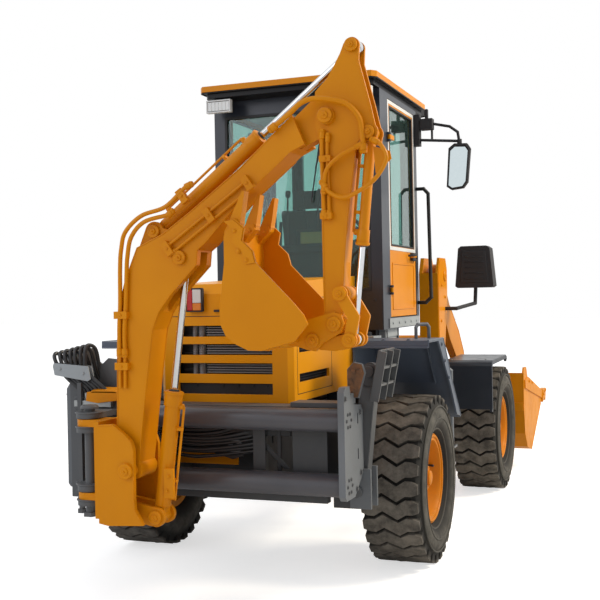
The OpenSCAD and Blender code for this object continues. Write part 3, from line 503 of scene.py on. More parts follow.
class Surfaces:
    """The finishes of this machine, each by its maker's name."""

    # two-pack enamel, sprayed: deep orange-yellow with a soft sheen
    body_enamel = Enamel("orange_enamel", "#D98A05", "#D08104", 0.40)
    # the hood's enamel is the body's orange painted lighter: a painted highlight for the stronger light that
    # falls on the hood
    hood_enamel = Enamel("hood_enamel", "#E89C0E", "#E0940A", 0.36)
    rim_enamel = Enamel("rim_enamel", "#CF7D08", "#C27306", 0.46, wear=Wear.WORKED)
    bucket_enamel = Enamel("bucket_enamel", "#D58805", "#C97E04", 0.44, wear=Wear.WORKED)
    # brushed-on grey enamel: satin, with dust and scuffs
    plate_enamel = Enamel("grey_plate_enamel", "#5A5C5E", "#505254", 0.42, dust="#7C776E", wear=Wear.WORKED,
                          gloss=0.4)
    # the same grey, darker between the end plates: painted shade where the slide tubes shade the plates
    # between them
    slide_enamel_painted_shade = TwoTone("slide_plate_enamel", "#6E7276", "#62666A", 0.42, dust="#7C776E",
                           wear=Wear.WORKED, gloss=0.4, other="#3A3B3D", axis=Axis.X, line=0.800)
    # pale grey steps under black door rails
    step_enamel = TwoTone("step_enamel", "#74797F", "#686D73", 0.42, dust="#7C776E", wear=Wear.WORKED,
                          gloss=0.4, other="#1B1C1E", axis=Axis.Z, line=1.560, inside=False)
    # orange roof panel over its black underside
    roof_enamel = TwoTone("roof_enamel", "#D98A05", "#D08104", 0.40, other="#141416", axis=Axis.Z,
                          line=ROOF_LINE)
    # bluish grey enamel with a soft sheen
    fender_enamel = Enamel("fender_enamel", "#56606F", "#4B5463", 0.40, dust="#7A776F", wear=Wear.WORKED,
                           gloss=0.5)
    tube_enamel = Enamel("slide_tube_enamel", "#47474C", "#525156", 0.30, dust="#6E6A63", wear=Wear.WORKED,
                         gloss=0.5)
    black_enamel = Enamel("black_enamel", "#1B1C1E", "#232427", 0.42, dust="#4E4A43", wear=Wear.WORKED,
                          gloss=0.4)
    navy_enamel = Enamel("navy_enamel", "#20262F", "#272D38", 0.32, dust="#565A60", gloss=0.5)
    tank_enamel = Enamel("tank_enamel", "#8E9497", "#9CA2A5", 0.45, dust="#77736A")
    # moulded rubber of the tyres: matt, dusty
    tyre_rubber = Rubber("tyre_rubber", "#242321", "#2C2A27", 0.82)
    side_rubber = Mould("side_wall_rubber", "#3A3935", "#4A4842", 0.80, grain_mm=4.0, relief=0.2)
    # ground hard chrome: a long bright line down each rod
    chrome = Metal("hard_chrome", "#CFD2D4", "#E2E4E6", 0.12)
    mirror_glass = Metal("silvered_glass", "#C9D6DA", "#D3DEE1", 0.02, streak=0.01)
    # electroplated zinc: pale, a little cloudy
    zinc = Metal("zinc_plate", "#A3A5A4", "#8C8F90", 0.34, streak=0.14)
    worn_steel = Metal("worn_steel", "#8F8B84", "#6E6760", 0.42, streak=0.20)
    # injection-moulded ABS: even black with a fine grain
    black_plastic = Mould("black_plastic", "#141517", "#1D1E21", 0.48)
    white_trim = Mould("white_trim", "#D9DBDA", "#CDD0CF", 0.42)
    # extruded hose rubber: black with a soft sheen
    hose_rubber = Mould("hose_rubber", "#17181A", "#242528", 0.40, grain_mm=6.0, relief=0.12)
    seal_rubber = Mould("seal_rubber", "#101011", "#17181A", 0.62)
    # pressed aluminium fins, lacquered grey
    radiator_core = Mould("radiator_core", "#1E1F21", "#2A2B2D", 0.60)
    radiator_fin = Mould("radiator_fin", "#6E7072", "#7D7F81", 0.45)
    # moulded lens: clear or red acrylic over a bright reflector
    lamp_clear = Mould("lamp_clear", "#DDE0DE", "#CFD3D2", 0.16, grain_mm=12.0, relief=0.5)
    lamp_red = Mould("lamp_red", "#B3141A", "#C01C20", 0.18, grain_mm=8.0, relief=0.4)
    lamp_amber = Mould("lamp_amber", "#D97A10", "#E08618", 0.18, grain_mm=8.0, relief=0.4)
    # float glass with a green tint
    cab_glass = Glass("cab_glass", "#A9CFC8", "#A9CFC8", 0.0)
    # bare plate, rusted
    rust = Rust("rusted_plate", "#5A4534", "#7A5537", 0.82)
    seat_cloth = Cloth("seat_cloth", "#1D1E21", "#2B2C30", 0.85)
    blank_label = Metal("gold_foil_plate", "#A98A55", "#8F7444", 0.35, streak=0.12)


# ---------- stock ----------

def spline(points: Sequence[Point], per: int = 7) -> list[Vector]:
    """Run a smooth curve through points.

    Args:
        points: the points that the curve passes.
        per: steps between two of them.

    Returns:
        The curve's points.
    """
    knots = [Vector(p) for p in points]
    knots = [2 * knots[0] - knots[1], *knots, 2 * knots[-1] - knots[-2]]
    path: list[Vector] = []
    for i in range(1, len(knots) - 2):
        a, b, c, d = knots[i - 1:i + 3]
        for step in range(per):
            t = step / per
            path.append(0.5 * (2 * b + (c - a) * t + (2 * a - 5 * b + 4 * c - d) * t * t
                               + (3 * b - a - 3 * c + d) * t ** 3))
    path.append(knots[-2])
    return path


class Stock:
    """Plate, bar, tube and turned stock that is joined into one named piece."""

    def __init__(self, name: str) -> None:
        """Start an empty piece.

        Args:
            name: the piece's name in the scene.
        """
        self.name = name
        self.mesh = bmesh.new()

    def prism(self, outline: Sequence[Flat], axis: Axis, low: float, high: float) -> "Stock":
        """Add a flat plate of any outline.

        Args:
            outline: its corners, in the two directions across the axis.
            axis: the direction of its thickness.
            low: where the thickness starts.
            high: where it ends.

        Returns:
            This stock, for the next call.
        """
        near, far = ([self.mesh.verts.new(axis.lift(u, v, w)) for u, v in outline] for w in (low, high))
        self.mesh.faces.new(near)
        self.mesh.faces.new(list(reversed(far)))
        count = len(outline)
        for i in range(count):
            j = (i + 1) % count
            self.mesh.faces.new((near[i], far[i], far[j], near[j]))
        return self

    def block(self, low: Point, high: Point) -> "Stock":
        """Add a rectangular bar between two corners.

        Args:
            low: its lowest corner.
            high: its highest corner.

        Returns:
            This stock, for the next call.
        """
        outline = [(low[0], low[1]), (high[0], low[1]), (high[0], high[1]), (low[0], high[1])]
        return self.prism(outline, Axis.Z, low[2], high[2])

    def ring(self, outline: Sequence[Flat], inset: float, axis: Axis, low: float, high: float) -> "Stock":
        """Add a flat frame that follows a convex outline.

        Args:
            outline: its outer corners.
            inset: the frame's width, drawn towards the outline's middle.
            axis: the direction of its thickness.
            low: where the thickness starts.
            high: where it ends.

        Returns:
            This stock, for the next call.
        """
        count = len(outline)
        middle = (sum(p[0] for p in outline) / count, sum(p[1] for p in outline) / count)
        inner = []
        for u, v in outline:
            du, dv = u - middle[0], v - middle[1]
            inner.append((u - math.copysign(min(inset, abs(du)), du),
                          v - math.copysign(min(inset, abs(dv)), dv)))
        rows = [[self.mesh.verts.new(axis.lift(u, v, w)) for u, v in line]
                for line, w in ((outline, low), (outline, high), (inner, high), (inner, low))]
        for k in range(4):
            first, second = rows[k], rows[(k + 1) % 4]
            for i in range(count):
                j = (i + 1) % count
                self.mesh.faces.new((first[i], first[j], second[j], second[i]))
        return self

    def turned(self, profile: Sequence[Flat], centre: Point, along: Point, steps: int = 24) -> "Stock":
        """Add a piece turned on a lathe.

        Args:
            profile: (height, radius) pairs from one end to the other.
            centre: where height zero is.
            along: the direction of the height.
            steps: facets round the piece.

        Returns:
            This stock, for the next call.
        """
        turn = Vector(along).to_track_quat("Z", "Y")
        rows = []
        for height, radius in profile:
            row = []
            for k in range(steps):
                angle = 2 * math.pi * k / steps
                spot = Vector((radius * math.cos(angle), radius * math.sin(angle), height))
                row.append(self.mesh.verts.new(Vector(centre) + turn @ spot))
            rows.append(row)
        self.mesh.faces.new(list(reversed(rows[0])))
        self.mesh.faces.new(rows[-1])
        for first, second in zip(rows, rows[1:]):
            for k in range(steps):
                j = (k + 1) % steps
                self.mesh.faces.new((first[k], first[j], second[j], second[k]))
        return self

    def bolt(self, centre: Point, along: Point, across: float = 0.024) -> "Stock":
        """Add a washer and a chamfered hexagon head.

        Args:
            centre: the middle of its seat.
            along: the direction that it stands out in.
            across: width of the head over its corners.

        Returns:
            This stock, for the next call.
        """
        washer, head = across * 0.72, across / 2
        self.turned([(-0.002, washer), (0.002, washer), (0.0025, washer * 0.96)], centre, along, 16)
        return self.turned([(0.0, head), (across * 0.36, head), (across * 0.42, head * 0.84)], centre, along,
                           6)

    def tube(self, path: Sequence[Point | Vector], radius: float, sides: int = 10) -> "Stock":
        """Add a round bar or hose along a path.

        Args:
            path: its middle line.
            radius: its radius.
            sides: facets round it.

        Returns:
            This stock, for the next call.
        """
        line = [Vector(p) for p in path]
        rows = []
        across: Vector | None = None
        for i, spot in enumerate(line):
            ahead = (line[min(i + 1, len(line) - 1)] - line[max(i - 1, 0)]).normalized()
            if across is None:
                across = ahead.orthogonal().normalized()
            across = (across - ahead * across.dot(ahead)).normalized()
            other = ahead.cross(across)
            rows.append([self.mesh.verts.new(spot + radius * (
                across * math.cos(2 * math.pi * k / sides) + other * math.sin(2 * math.pi * k / sides)))
                for k in range(sides)])
        self.mesh.faces.new(list(reversed(rows[0])))
        self.mesh.faces.new(rows[-1])
        for first, second in zip(rows, rows[1:]):
            for k in range(sides):
                j = (k + 1) % sides
                self.mesh.faces.new((first[k], first[j], second[j], second[k]))
        return self

    def hose(self, points: Sequence[Point], radius: float = 0.010) -> "Stock":
        """Add a hose with a crimped ferrule and a hexagon union at each end.

        Args:
            points: the points that it passes, from fitting to fitting.
            radius: the hose's radius.

        Returns:
            This stock, for the next call.
        """
        path = spline(points)
        self.tube(path, radius)
        for end, inner in ((path[0], path[1]), (path[-1], path[-2])):
            along = (inner - end).normalized()
            self.turned([(0.0, radius * 1.05), (0.004, radius * 1.5), (0.034, radius * 1.5),
                         (0.038, radius * 1.1)],
                        tuple(end), tuple(along), 12)
            self.turned([(-0.012, radius * 1.25), (0.002, radius * 1.65)], tuple(end), tuple(along), 6)
        return self

    def mirrored(self) -> "Stock":
        """Copy all that is there to the machine's other side."""
        found = [*self.mesh.verts, *self.mesh.edges, *self.mesh.faces]
        copy = bmesh.ops.duplicate(self.mesh, geom=found)["geom"]
        for item in copy:
            if isinstance(item, bmesh.types.BMVert):
                item.co.x = -item.co.x
        return self

    def place(self, finish: Finish, body: str, bevel: float = 0.0015) -> bpy.types.Object:
        """Turn the stock into a piece that rides on a body.

        Args:
            finish: the piece's finish.
            body: the body that carries it.
            bevel: radius of its broken edges, or zero.

        Returns:
            The new piece.
        """
        obj = self.make(finish, bevel)
        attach(obj, body)
        LOG.info("%s rides on %s", self.name, body)
        return obj

    def make(self, finish: Finish, bevel: float = 0.0015) -> bpy.types.Object:
        """Turn the stock into a piece that nothing carries yet.

        Args:
            finish: the piece's finish.
            bevel: radius of its broken edges, or zero.

        Returns:
            The new piece.
        """
        bmesh.ops.recalc_face_normals(self.mesh, faces=self.mesh.faces)
        data = bpy.data.meshes.new(self.name)
        self.mesh.to_mesh(data)
        self.mesh.free()
        data.shade_smooth()
        data.set_sharp_from_angle(angle=math.radians(35))
        data.materials.append(finish.build())
        obj = bpy.data.objects.new(self.name, data)
        bpy.context.scene.collection.objects.link(obj)
        if bevel > 0.0:
            edge = obj.modifiers.new("edge", "BEVEL")
            edge.width = bevel
            edge.segments = 2
            edge.limit_method = "ANGLE"
            edge.angle_limit = math.radians(35)
        return obj


# ---------- wheels ----------

@dataclass
class WheelDress:
    """Side-wall ribs, lock ring, hub cap, nuts and valve of one wheel."""

    bead: float = 0.262
    bolt_circle: float = 0.158
    nuts: int = 8
    disc: float = 0.052

    def build(self, name: str, side: Side, y: float) -> None:
        """Dress one wheel.

        Args:
            name: the wheel's place, as in its node names.
            side: the machine's side that it stands on.
            y: where its axle is.
        """
        s = side.value
        body, centre, out = "wheel_" + name, (s * TRACK_HALF, y, AXLE_Z), (s, 0, 0)
        ribs = Stock("side_ribs_" + name)
        for radius, reach in ((0.318, 0.168), (0.385, 0.1975), (0.462, 0.190)):
            ribs.tube([(centre[0] + s * reach, y + radius * math.cos(a), AXLE_Z + radius * math.sin(a))
                       for a in (2 * math.pi * k / 64 for k in range(65))], 0.006, 8)
        ribs.place(Surfaces.side_rubber, body, 0)
        lock = Stock("lock_ring_" + name)
        lock.tube([(centre[0] + s * 0.142, y + 0.270 * math.cos(a), AXLE_Z + 0.270 * math.sin(a))
                   for a in (2 * math.pi * k / 64 for k in range(65))], 0.010, 10)
        lock.place(Surfaces.rim_enamel, body, 0)
        cap = Stock("hub_cap_" + name)
        cap.turned([(0.094, 0.084), (0.104, 0.084), (0.110, 0.078), (0.116, 0.050), (0.132, 0.046),
                    (0.136, 0.040)],
                   centre, out, 32)
        for k in range(6):
            angle = 2 * math.pi * k / 6
            cap.bolt((centre[0] + s * 0.110, y + 0.064 * math.cos(angle), AXLE_Z + 0.064 * math.sin(angle)),
                     out, 0.017)
        cap.place(Surfaces.rim_enamel, body, 0.001)
        nuts = Stock("wheel_nuts_" + name)
        for k in range(self.nuts):
            angle = 2 * math.pi * k / self.nuts
            spot = (centre[0] + s * self.disc, y + self.bolt_circle * math.cos(angle),
                    AXLE_Z + self.bolt_circle * math.sin(angle))
            nuts.turned([(-0.004, 0.0125), (0.004, 0.0125), (0.006, 0.010)], spot, out, 6)
            nuts.turned([(0.0, 0.007), (0.016, 0.007), (0.017, 0.006)], spot, out, 10)
        nuts.place(Surfaces.zinc, body, 0)
        valve = Stock("valve_" + name)
        valve.turned([(0.0, 0.006), (0.030, 0.006), (0.031, 0.008), (0.046, 0.008), (0.048, 0.006)],
                     (centre[0] + s * 0.060, y + 0.212, AXLE_Z + 0.045), (s, -0.35, 0), 10)
        valve.place(Surfaces.black_plastic, body, 0)


# ---------- hood ----------

@dataclass
class HoodDress:
    """Cooler fins, hoses, seams and fastenings of the engine hood."""

    slots: tuple[float, ...] = (1.140, 1.262, 1.378, 1.490)
    half: float = 0.440
    rear: float = REAR_AXLE_Y - 0.820

    def build(self) -> None:
        """Dress the hood."""
        fins = Stock("cooler_fins")
        for z in self.slots[1:]:
            for k in range(4):
                low = z + 0.006 + k * 0.0155
                fins.prism([(self.rear + 0.024, low), (self.rear + 0.046, low + 0.007),
                            (self.rear + 0.046, low + 0.012), (self.rear + 0.024, low + 0.005)], Axis.X,
                            -0.130, 0.305)
        fins.place(Surfaces.radiator_fin, "rear_chassis", 0)
        panel = Stock("lower_slot_panel")
        panel.block((-0.318, self.rear + 0.020, self.slots[0] - 0.006),
                    (0.318, self.rear + 0.026, self.slots[0] + 0.072))
        for x in (-0.20, -0.02, 0.08, 0.18, 0.27):
            panel.bolt((x, self.rear + 0.020, self.slots[0] + 0.050), (0, -1, 0), 0.014)
        panel.place(Surfaces.black_enamel, "rear_chassis")
        pipe = Stock("cooler_hose")
        for x, radius in ((-0.170, 0.024), (-0.218, 0.018)):
            rings = [(k * 0.006, radius * (1.0 if k % 2 else 0.88)) for k in range(90)]
            pipe.turned(rings, (x, self.rear + 0.050, 1.100), (0, 0, 1), 16)
        pipe.place(Surfaces.radiator_fin, "rear_chassis", 0)
        mesh = Stock("side_slot_screens")
        mesh.block((0.400, -2.250, 1.180), (0.404, -1.670, 1.640))
        for k in range(3):
            low = 1.205 + 0.180 * k
            for step in range(3):
                z = low + 0.006 + 0.016 * step
                mesh.prism([(0.404, z), (0.424, z + 0.008), (0.424, z + 0.011), (0.404, z + 0.003)], Axis.Y,
                           -2.228, -1.692)
        mesh.mirrored().place(Surfaces.black_plastic, "rear_chassis", 0)
        seams = Stock("hood_seams")
        x = self.half
        for y in (-2.268, -1.640):
            seams.block((x - 0.002, y, 1.135), (x + 0.001, y + 0.004, 1.720))
        for z in (1.135, 1.716):
            seams.block((x - 0.002, -2.268, z), (x + 0.001, -1.636, z + 0.004))
        seams.mirrored()
        seams.block((-0.405, self.rear - 0.001, 1.612), (0.405, self.rear + 0.002, 1.616))
        seams.place(Surfaces.seal_rubber, "rear_chassis", 0)
        latch = Stock("hood_latches")
        for y in (-2.200, -1.710):
            latch.turned([(0.0, 0.016), (0.004, 0.016), (0.006, 0.013)], (x, y, 1.690), (1, 0, 0), 18)
            latch.block((x + 0.004, y - 0.003, 1.678), (x + 0.009, y + 0.003, 1.702))
        latch.mirrored()
        latch.block((-0.060, self.rear - 0.016, 1.640), (0.060, self.rear - 0.010, 1.654))
        for x_post in (-0.052, 0.052):
            latch.block((x_post - 0.005, self.rear - 0.012, 1.641),
                        (x_post + 0.005, self.rear + 0.001, 1.653))
        latch.place(Surfaces.black_plastic, "rear_chassis", 0.001)


# ---------- lamps and mirrors ----------

@dataclass
class LampDress:
    """Lenses and bezels of the tail lamps, work lamps and headlamps."""

    tail_x: tuple[float, float] = (0.131, 0.234)
    tail_z: tuple[float, float] = (1.645, 1.785)
    tail_y: float = REAR_AXLE_Y - 0.850

    def build(self) -> None:
        """Fit every lamp."""
        (x0, x1), (z0, z1), y = self.tail_x, self.tail_z, self.tail_y
        split = x1 - 0.040
        red = Stock("tail_lens_red")
        red.block((split, y - 0.008, z0 + 0.006), (x1 - 0.005, y, z1 - 0.006))
        red.mirrored().place(Surfaces.lamp_red, "rear_chassis", 0.003)
        clear = Stock("tail_lens_clear")
        clear.block((x0 + 0.005, y - 0.007, z0 + 0.052), (split - 0.001, y, z1 - 0.006))
        clear.mirrored().place(Surfaces.lamp_clear, "rear_chassis", 0.003)
        amber = Stock("tail_lens_amber")
        amber.block((x0 + 0.005, y - 0.007, z0 + 0.006), (split - 0.001, y, z0 + 0.050))
        amber.mirrored().place(Surfaces.lamp_amber, "rear_chassis", 0.003)
        bezel = Stock("tail_bezels")
        bezel.ring([(x0 - 0.003, z0 - 0.003), (x1 + 0.003, z0 - 0.003), (x1 + 0.003, z1 + 0.003),
                    (x0 - 0.003, z1 + 0.003)],
                   0.007, Axis.Y, y - 0.006, y + 0.012)
        bezel.mirrored().place(Surfaces.black_plastic, "rear_chassis", 0.001)
        work = Stock("work_lens")
        work.block((0.448, -1.236, 3.090), (0.617, -1.229, 3.155))
        for k in range(1, 6):
            x = 0.448 + k * 0.169 / 6
            work.block((x - 0.0015, -1.239, 3.090), (x + 0.0015, -1.235, 3.155))
        work.mirrored().place(Surfaces.lamp_clear, "rear_chassis", 0.002)
        frame = Stock("work_bezels")
        frame.ring([(0.436, 3.076), (0.629, 3.076), (0.629, 3.169), (0.436, 3.169)], 0.010, Axis.Y, -1.240,
                   -1.200)
        frame.mirrored().place(Surfaces.white_trim, "rear_chassis", 0.002)
        head = Stock("head_lens")
        head.prism([(0.800, 1.880), (1.005, 1.880), (1.020, 2.090), (0.785, 2.090)], Axis.Y, 1.029, 1.036)
        head.mirrored().place(Surfaces.lamp_clear, "front_chassis", 0.003)
        turn = Stock("turn_lens")
        turn.prism([(0.780, 1.795), (1.040, 1.795), (1.036, 1.862), (0.784, 1.862)], Axis.Y, 1.029, 1.035)
        turn.mirrored().place(Surfaces.lamp_amber, "front_chassis", 0.003)
        ribs = Stock("head_lamp_backs")
        ribs.prism([(0.778, 1.820), (0.800, 2.095), (1.004, 2.095), (1.026, 1.820)], Axis.Y, 0.864, 0.871)
        for k in range(5):
            z = 1.850 + 0.048 * k
            ribs.block((0.812 + 0.002 * k, 0.858, z), (0.992 - 0.002 * k, 0.865, z + 0.008))
        ribs.mirrored().place(Surfaces.black_plastic, "front_chassis", 0.004)


@dataclass
class MirrorDress:
    """Glass, rim and clamps of the two mirrors."""

    cab_half: float = 0.640
    face_y: float = REAR_AXLE_Y + 1.405

    def build(self) -> None:
        """Fit both mirrors."""
        outline = [(0.262, 2.568), (0.296, 2.545), (0.380, 2.555), (0.410, 2.595), (0.434, 2.845),
                   (0.412, 2.878), (0.322, 2.883), (0.284, 2.852)]
        shifted = [(self.cab_half + u, v) for u, v in outline]
        middle = (sum(p[0] for p in shifted) / 8, sum(p[1] for p in shifted) / 8)
        lens = [(middle[0] + (u - middle[0]) * 0.90, middle[1] + (v - middle[1]) * 0.94 - 0.006) for u,
                v in shifted]
        glass = Stock("mirror_glass")
        glass.prism(lens, Axis.Y, self.face_y - 0.0030, self.face_y + 0.001)
        glass.mirrored().place(Surfaces.mirror_glass, "rear_chassis", 0)
        rim = Stock("mirror_rims")
        path = [(u, self.face_y - 0.001, v) for u, v in shifted]
        rim.tube([*path, path[0], path[1]], 0.006, 8)
        rim.mirrored().place(Surfaces.black_plastic, "rear_chassis", 0)
        clamps = Stock("mirror_clamps")
        x, y = self.cab_half, REAR_AXLE_Y + 1.445
        clamps.block((x - 0.004, y - 0.030, 2.900), (x + 0.040, y + 0.045, 3.145))
        for z in (2.928, 3.022, 3.118):
            clamps.bolt((x + 0.040, y + 0.008, z), (1, 0, 0), 0.018)
        clamps.turned([(-0.022, 0.019), (0.022, 0.019), (0.024, 0.016)], (x + 0.358, y - 0.016, 2.905),
                      (0, 0, 1), 14)
        clamps.mirrored().place(Surfaces.black_plastic, "rear_chassis", 0.004)
        lamp = Stock("roof_corner_lamps")
        lamp.block((x + 0.048, y - 0.040, 3.020), (x + 0.150, y + 0.030, 3.108))
        lamp.block((x + 0.085, y - 0.020, 3.100), (x + 0.110, y + 0.010, 3.185))
        lamp.mirrored().place(Surfaces.black_plastic, "rear_chassis", 0.006)


# ---------- cab ----------

@dataclass
class CabDress:
    """Seals, trim, liner, fittings and controls of the cab."""

    half: float = 0.640
    door_y: tuple[float, float] = (REAR_AXLE_Y + 0.652, REAR_AXLE_Y + 1.392)
    door_z: tuple[float, float] = (1.566, 3.138)
    rear_y: float = REAR_AXLE_Y + 0.450

    def build(self) -> None:
        """Dress the cab and its doors."""
        for side in Side:
            self.door(side)
        self.windows()
        self.inside()

    def door(self, side: Side) -> None:
        """Fit one door's trim, seal, lock and handle.

        Args:
            side: the machine's side that the door is on.
        """
        s, (y0, y1), (z0, z1) = side.value, self.door_y, self.door_z
        body, face = "door_" + side.word, self.half - 0.004
        window = [(y0 + 0.043, 2.080), (y1 - 0.042, 2.080), (y1 - 0.042, z1 - 0.040),
                  (y0 + 0.043, z1 - 0.040)]
        span = sorted((s * (face - 0.024), s * (face + 0.003)))
        seal = Stock("door_seal_" + side.word)
        seal.ring(window, 0.014, Axis.X, span[0], span[1])
        seal.place(Surfaces.seal_rubber, body)
        trim = Stock("door_trim_" + side.word)
        outer = sorted((s * (face - 0.001), s * (face + 0.003)))
        trim.ring([(y0 + 0.001, 2.050), (y1 - 0.001, 2.050), (y1 - 0.001, z1 - 0.001),
                   (y0 + 0.001, z1 - 0.001)],
                  0.026, Axis.X, outer[0], outer[1])
        trim.place(Surfaces.white_trim, body, 0.001)
        lock = Stock("door_lock_" + side.word)
        lock.block((min(s * face, s * (face + 0.026)), y1 - 0.160, 1.985),
                   (max(s * face, s * (face + 0.026)), y1 - 0.040, 2.045))
        lock.turned([(0.0, 0.014), (0.034, 0.014), (0.036, 0.011)], (s * face, y1 - 0.060, 2.015), (s, 0, 0),
                    16)
        lock.tube(spline([(s * (face + 0.010), y1 - 0.150, 2.030), (s * (face + 0.045), y1 - 0.160, 2.028),
                          (s * (face + 0.050), y1 - 0.230, 2.024), (s * (face + 0.012), y1 - 0.260, 2.022)]),
                          0.009)
        lock.place(Surfaces.black_plastic, body, 0.004)
        press = Stock("door_pressing_" + side.word)
        press.ring([(y0 + 0.060, z0 + 0.050), (y1 - 0.060, z0 + 0.050), (y1 - 0.060, 1.960),
                    (y0 + 0.060, 1.960)],
                   0.012, Axis.X, *sorted((s * (face - 0.001), s * (face + 0.005))))
        press.place(Surfaces.body_enamel, body, 0.002)

    def windows(self) -> None:
        """Fit the rear window's seal, the wiper, the sills and the roof's gutter."""
        h, y = self.half, self.rear_y
        seal = Stock("rear_window_seal")
        seal.ring([(-h + 0.084, 1.754), (h - 0.084, 1.754), (h - 0.084, 3.066), (-h + 0.084, 3.066)], 0.020,
                  Axis.Y, y - 0.004, y + 0.012)
        seal.place(Surfaces.seal_rubber, "rear_chassis", 0.002)
        wiper = Stock("rear_wiper")
        wiper.turned([(0.0, 0.030), (0.030, 0.030), (0.034, 0.024)], (0.300, y + 0.002, 3.080), (0, -1, 0),
                     18)
        wiper.tube([(0.300, y - 0.026, 3.080), (0.240, y - 0.030, 2.900), (0.160, y - 0.020, 2.640)], 0.006)
        wiper.tube([(0.205, y - 0.012, 2.900), (0.120, y - 0.012, 2.400)], 0.005)
        wiper.place(Surfaces.black_plastic, "rear_chassis", 0)
        sill = Stock("door_sills")
        sill.block((h - 0.050, self.door_y[0] - 0.060, 1.486), (h + 0.006, self.door_y[1] + 0.050, 1.556))
        for k in range(5):
            sill.bolt((h + 0.006, self.door_y[0] + 0.020 + k * 0.170, 1.520), (1, 0, 0), 0.016)
        sill.mirrored().place(Surfaces.tank_enamel, "rear_chassis", 0.003)
        gutter = Stock("roof_gutter")
        rim = [(-h - 0.030, -1.230), (-h, -1.270), (h, -1.270), (h + 0.030, -1.230), (h + 0.030, 0.140),
               (h - 0.036, 0.424), (h - 0.068, 0.440), (-h + 0.068, 0.440), (-h + 0.036, 0.424),
               (-h - 0.030, 0.140)]
        line = [(u * 0.996, v, 3.2215) for u, v in rim]
        gutter.tube([*line, line[0], line[1]], 0.006, 8)
        gutter.place(Surfaces.seal_rubber, "rear_chassis", 0)
        under = Stock("rear_skirt")
        under.prism([(-h + 0.004, 1.480), (-h + 0.004, 1.720), (h - 0.004, 1.720), (h - 0.004, 1.480)],
                    Axis.Y, y - 0.006, y + 0.001)
        for x in (-0.58, -0.30, 0.0, 0.30, 0.58):
            under.bolt((x, y - 0.006, 1.690), (0, -1, 0), 0.016)
        under.place(Surfaces.navy_enamel, "rear_chassis", 0.002)

    def inside(self) -> None:
        """Fit the liner, the levers and the small cases inside."""
        liner = Stock("roof_liner")
        liner.block((-0.585, -1.020, 3.122), (0.585, 0.150, 3.139))
        liner.place(Surfaces.white_trim, "rear_chassis", 0.006)
        case = Stock("console_case")
        case.block((-0.310, -1.060, 2.040), (0.310, -0.880, 2.100))
        case.block((-0.020, -1.056, 2.085), (0.270, -0.900, 2.215))
        case.place(Surfaces.black_plastic, "rear_chassis", 0.012)
        plate = Stock("blank_plate")
        plate.block((0.020, -1.0585, 2.108), (0.235, -1.055, 2.190))
        plate.place(Surfaces.blank_label, "rear_chassis", 0.001)
        levers = Stock("control_levers")
        for x, lean in ((-0.230, -0.030), (-0.120, 0.020), (0.060, -0.050), (0.090, 0.060), (0.330, 0.030)):
            top = (x + lean, -0.985, 2.480)
            levers.tube(spline([(x, -0.960, 2.060), (x + lean * 0.4, -0.975, 2.260), top]), 0.007)
            levers.turned([(-0.028, 0.010), (-0.018, 0.018), (0.012, 0.021), (0.026, 0.014)], top,
                          (lean, -0.02, 0.3), 14)
        levers.place(Surfaces.black_plastic, "rear_chassis", 0)
        wheel = Stock("steering_boss")
        wheel.turned([(-0.010, 0.050), (0.018, 0.050), (0.030, 0.034), (0.033, 0.020)], (0, -0.090, 2.270),
                     (0, -0.64, 0.77), 20)
        wheel.place(Surfaces.black_plastic, "rear_chassis", 0)
        gauges = Stock("gauge_panel")
        gauges.block((-0.200, -0.040, 2.118), (0.200, 0.120, 2.180))
        for x in (-0.12, 0.0, 0.12):
            gauges.turned([(0.0, 0.034), (0.008, 0.034), (0.010, 0.030)], (x, -0.040, 2.150), (0, -1, 0), 20)
        gauges.place(Surfaces.black_plastic, "rear_chassis", 0.004)


@dataclass
class SeatDress:
    """The operator's seat: three sewn pads that stand for the plain solids."""

    cuts: int = 14
    crown: float = 0.30
    channels: tuple[float, ...] = (-0.34, 0.34)

    def build(self) -> None:
        """Make the three pads."""
        for node, fill in (("seat_cushion", 0.80), ("seat_back", 0.75), ("head_rest", 0.85)):
            self.pad(node)

    def pad(self, node: str) -> None:
        """Make one crowned pad in the space of its solid.

        Args:
            node: the solid's name.
        """
        low, high = (Vector(corner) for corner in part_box(node))
        middle, half = (low + high) / 2, (high - low) / 2
        thick = 2 if half.z < half.y else 1
        lean = 0.050 if node == "seat_back" else 0.0
        if node == "seat_back":
            half.y -= 0.030
        work = bmesh.new()
        bmesh.ops.create_cube(work, size=2.0)
        bmesh.ops.subdivide_edges(work, edges=work.edges, cuts=self.cuts, use_grid_fill=True)
        wide = [k for k in range(3) if k != thick]
        for vert in work.verts:
            a, b, c = vert.co[wide[0]], vert.co[wide[1]], vert.co[thick]
            waist = 1.0 - 0.045 * (1.0 - b * b), 1.0 - 0.045 * (1.0 - a * a)
            dome = 1.0 - self.crown * (a ** 4 + b ** 4) / 2 - 0.10 * (a * a + b * b) / 2
            seam = sum(math.exp(-((a - k) / 0.035) ** 2) for k in self.channels)
            spot = Vector((0.0, 0.0, 0.0))
            spot[wide[0]] = a * waist[0] * (1.0 - 0.05 * c * c)
            spot[wide[1]] = b * waist[1] * (1.0 - 0.05 * c * c)
            spot[thick] = c * dome * (1.0 - 0.10 * seam)
            vert.co = middle + Vector((spot.x * half.x, spot.y * half.y, spot.z * half.z))
            if lean:
                vert.co.y -= lean * (vert.co.z - middle.z) / half.z * 0.6
        data = bpy.data.meshes.new(node + "_pad")
        work.to_mesh(data)
        work.free()
        data.shade_smooth()
        data.materials.append(Surfaces.seat_cloth.build())
        obj = bpy.data.objects.new(node + "_pad", data)
        bpy.context.scene.collection.objects.link(obj)
        smooth = obj.modifiers.new("round", "SUBSURF")
        smooth.levels = smooth.render_levels = 1
        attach(obj, "rear_chassis")
        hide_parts(node)
        LOG.info("%s rides on rear_chassis", obj.name)


# ---------- digging arm ----------

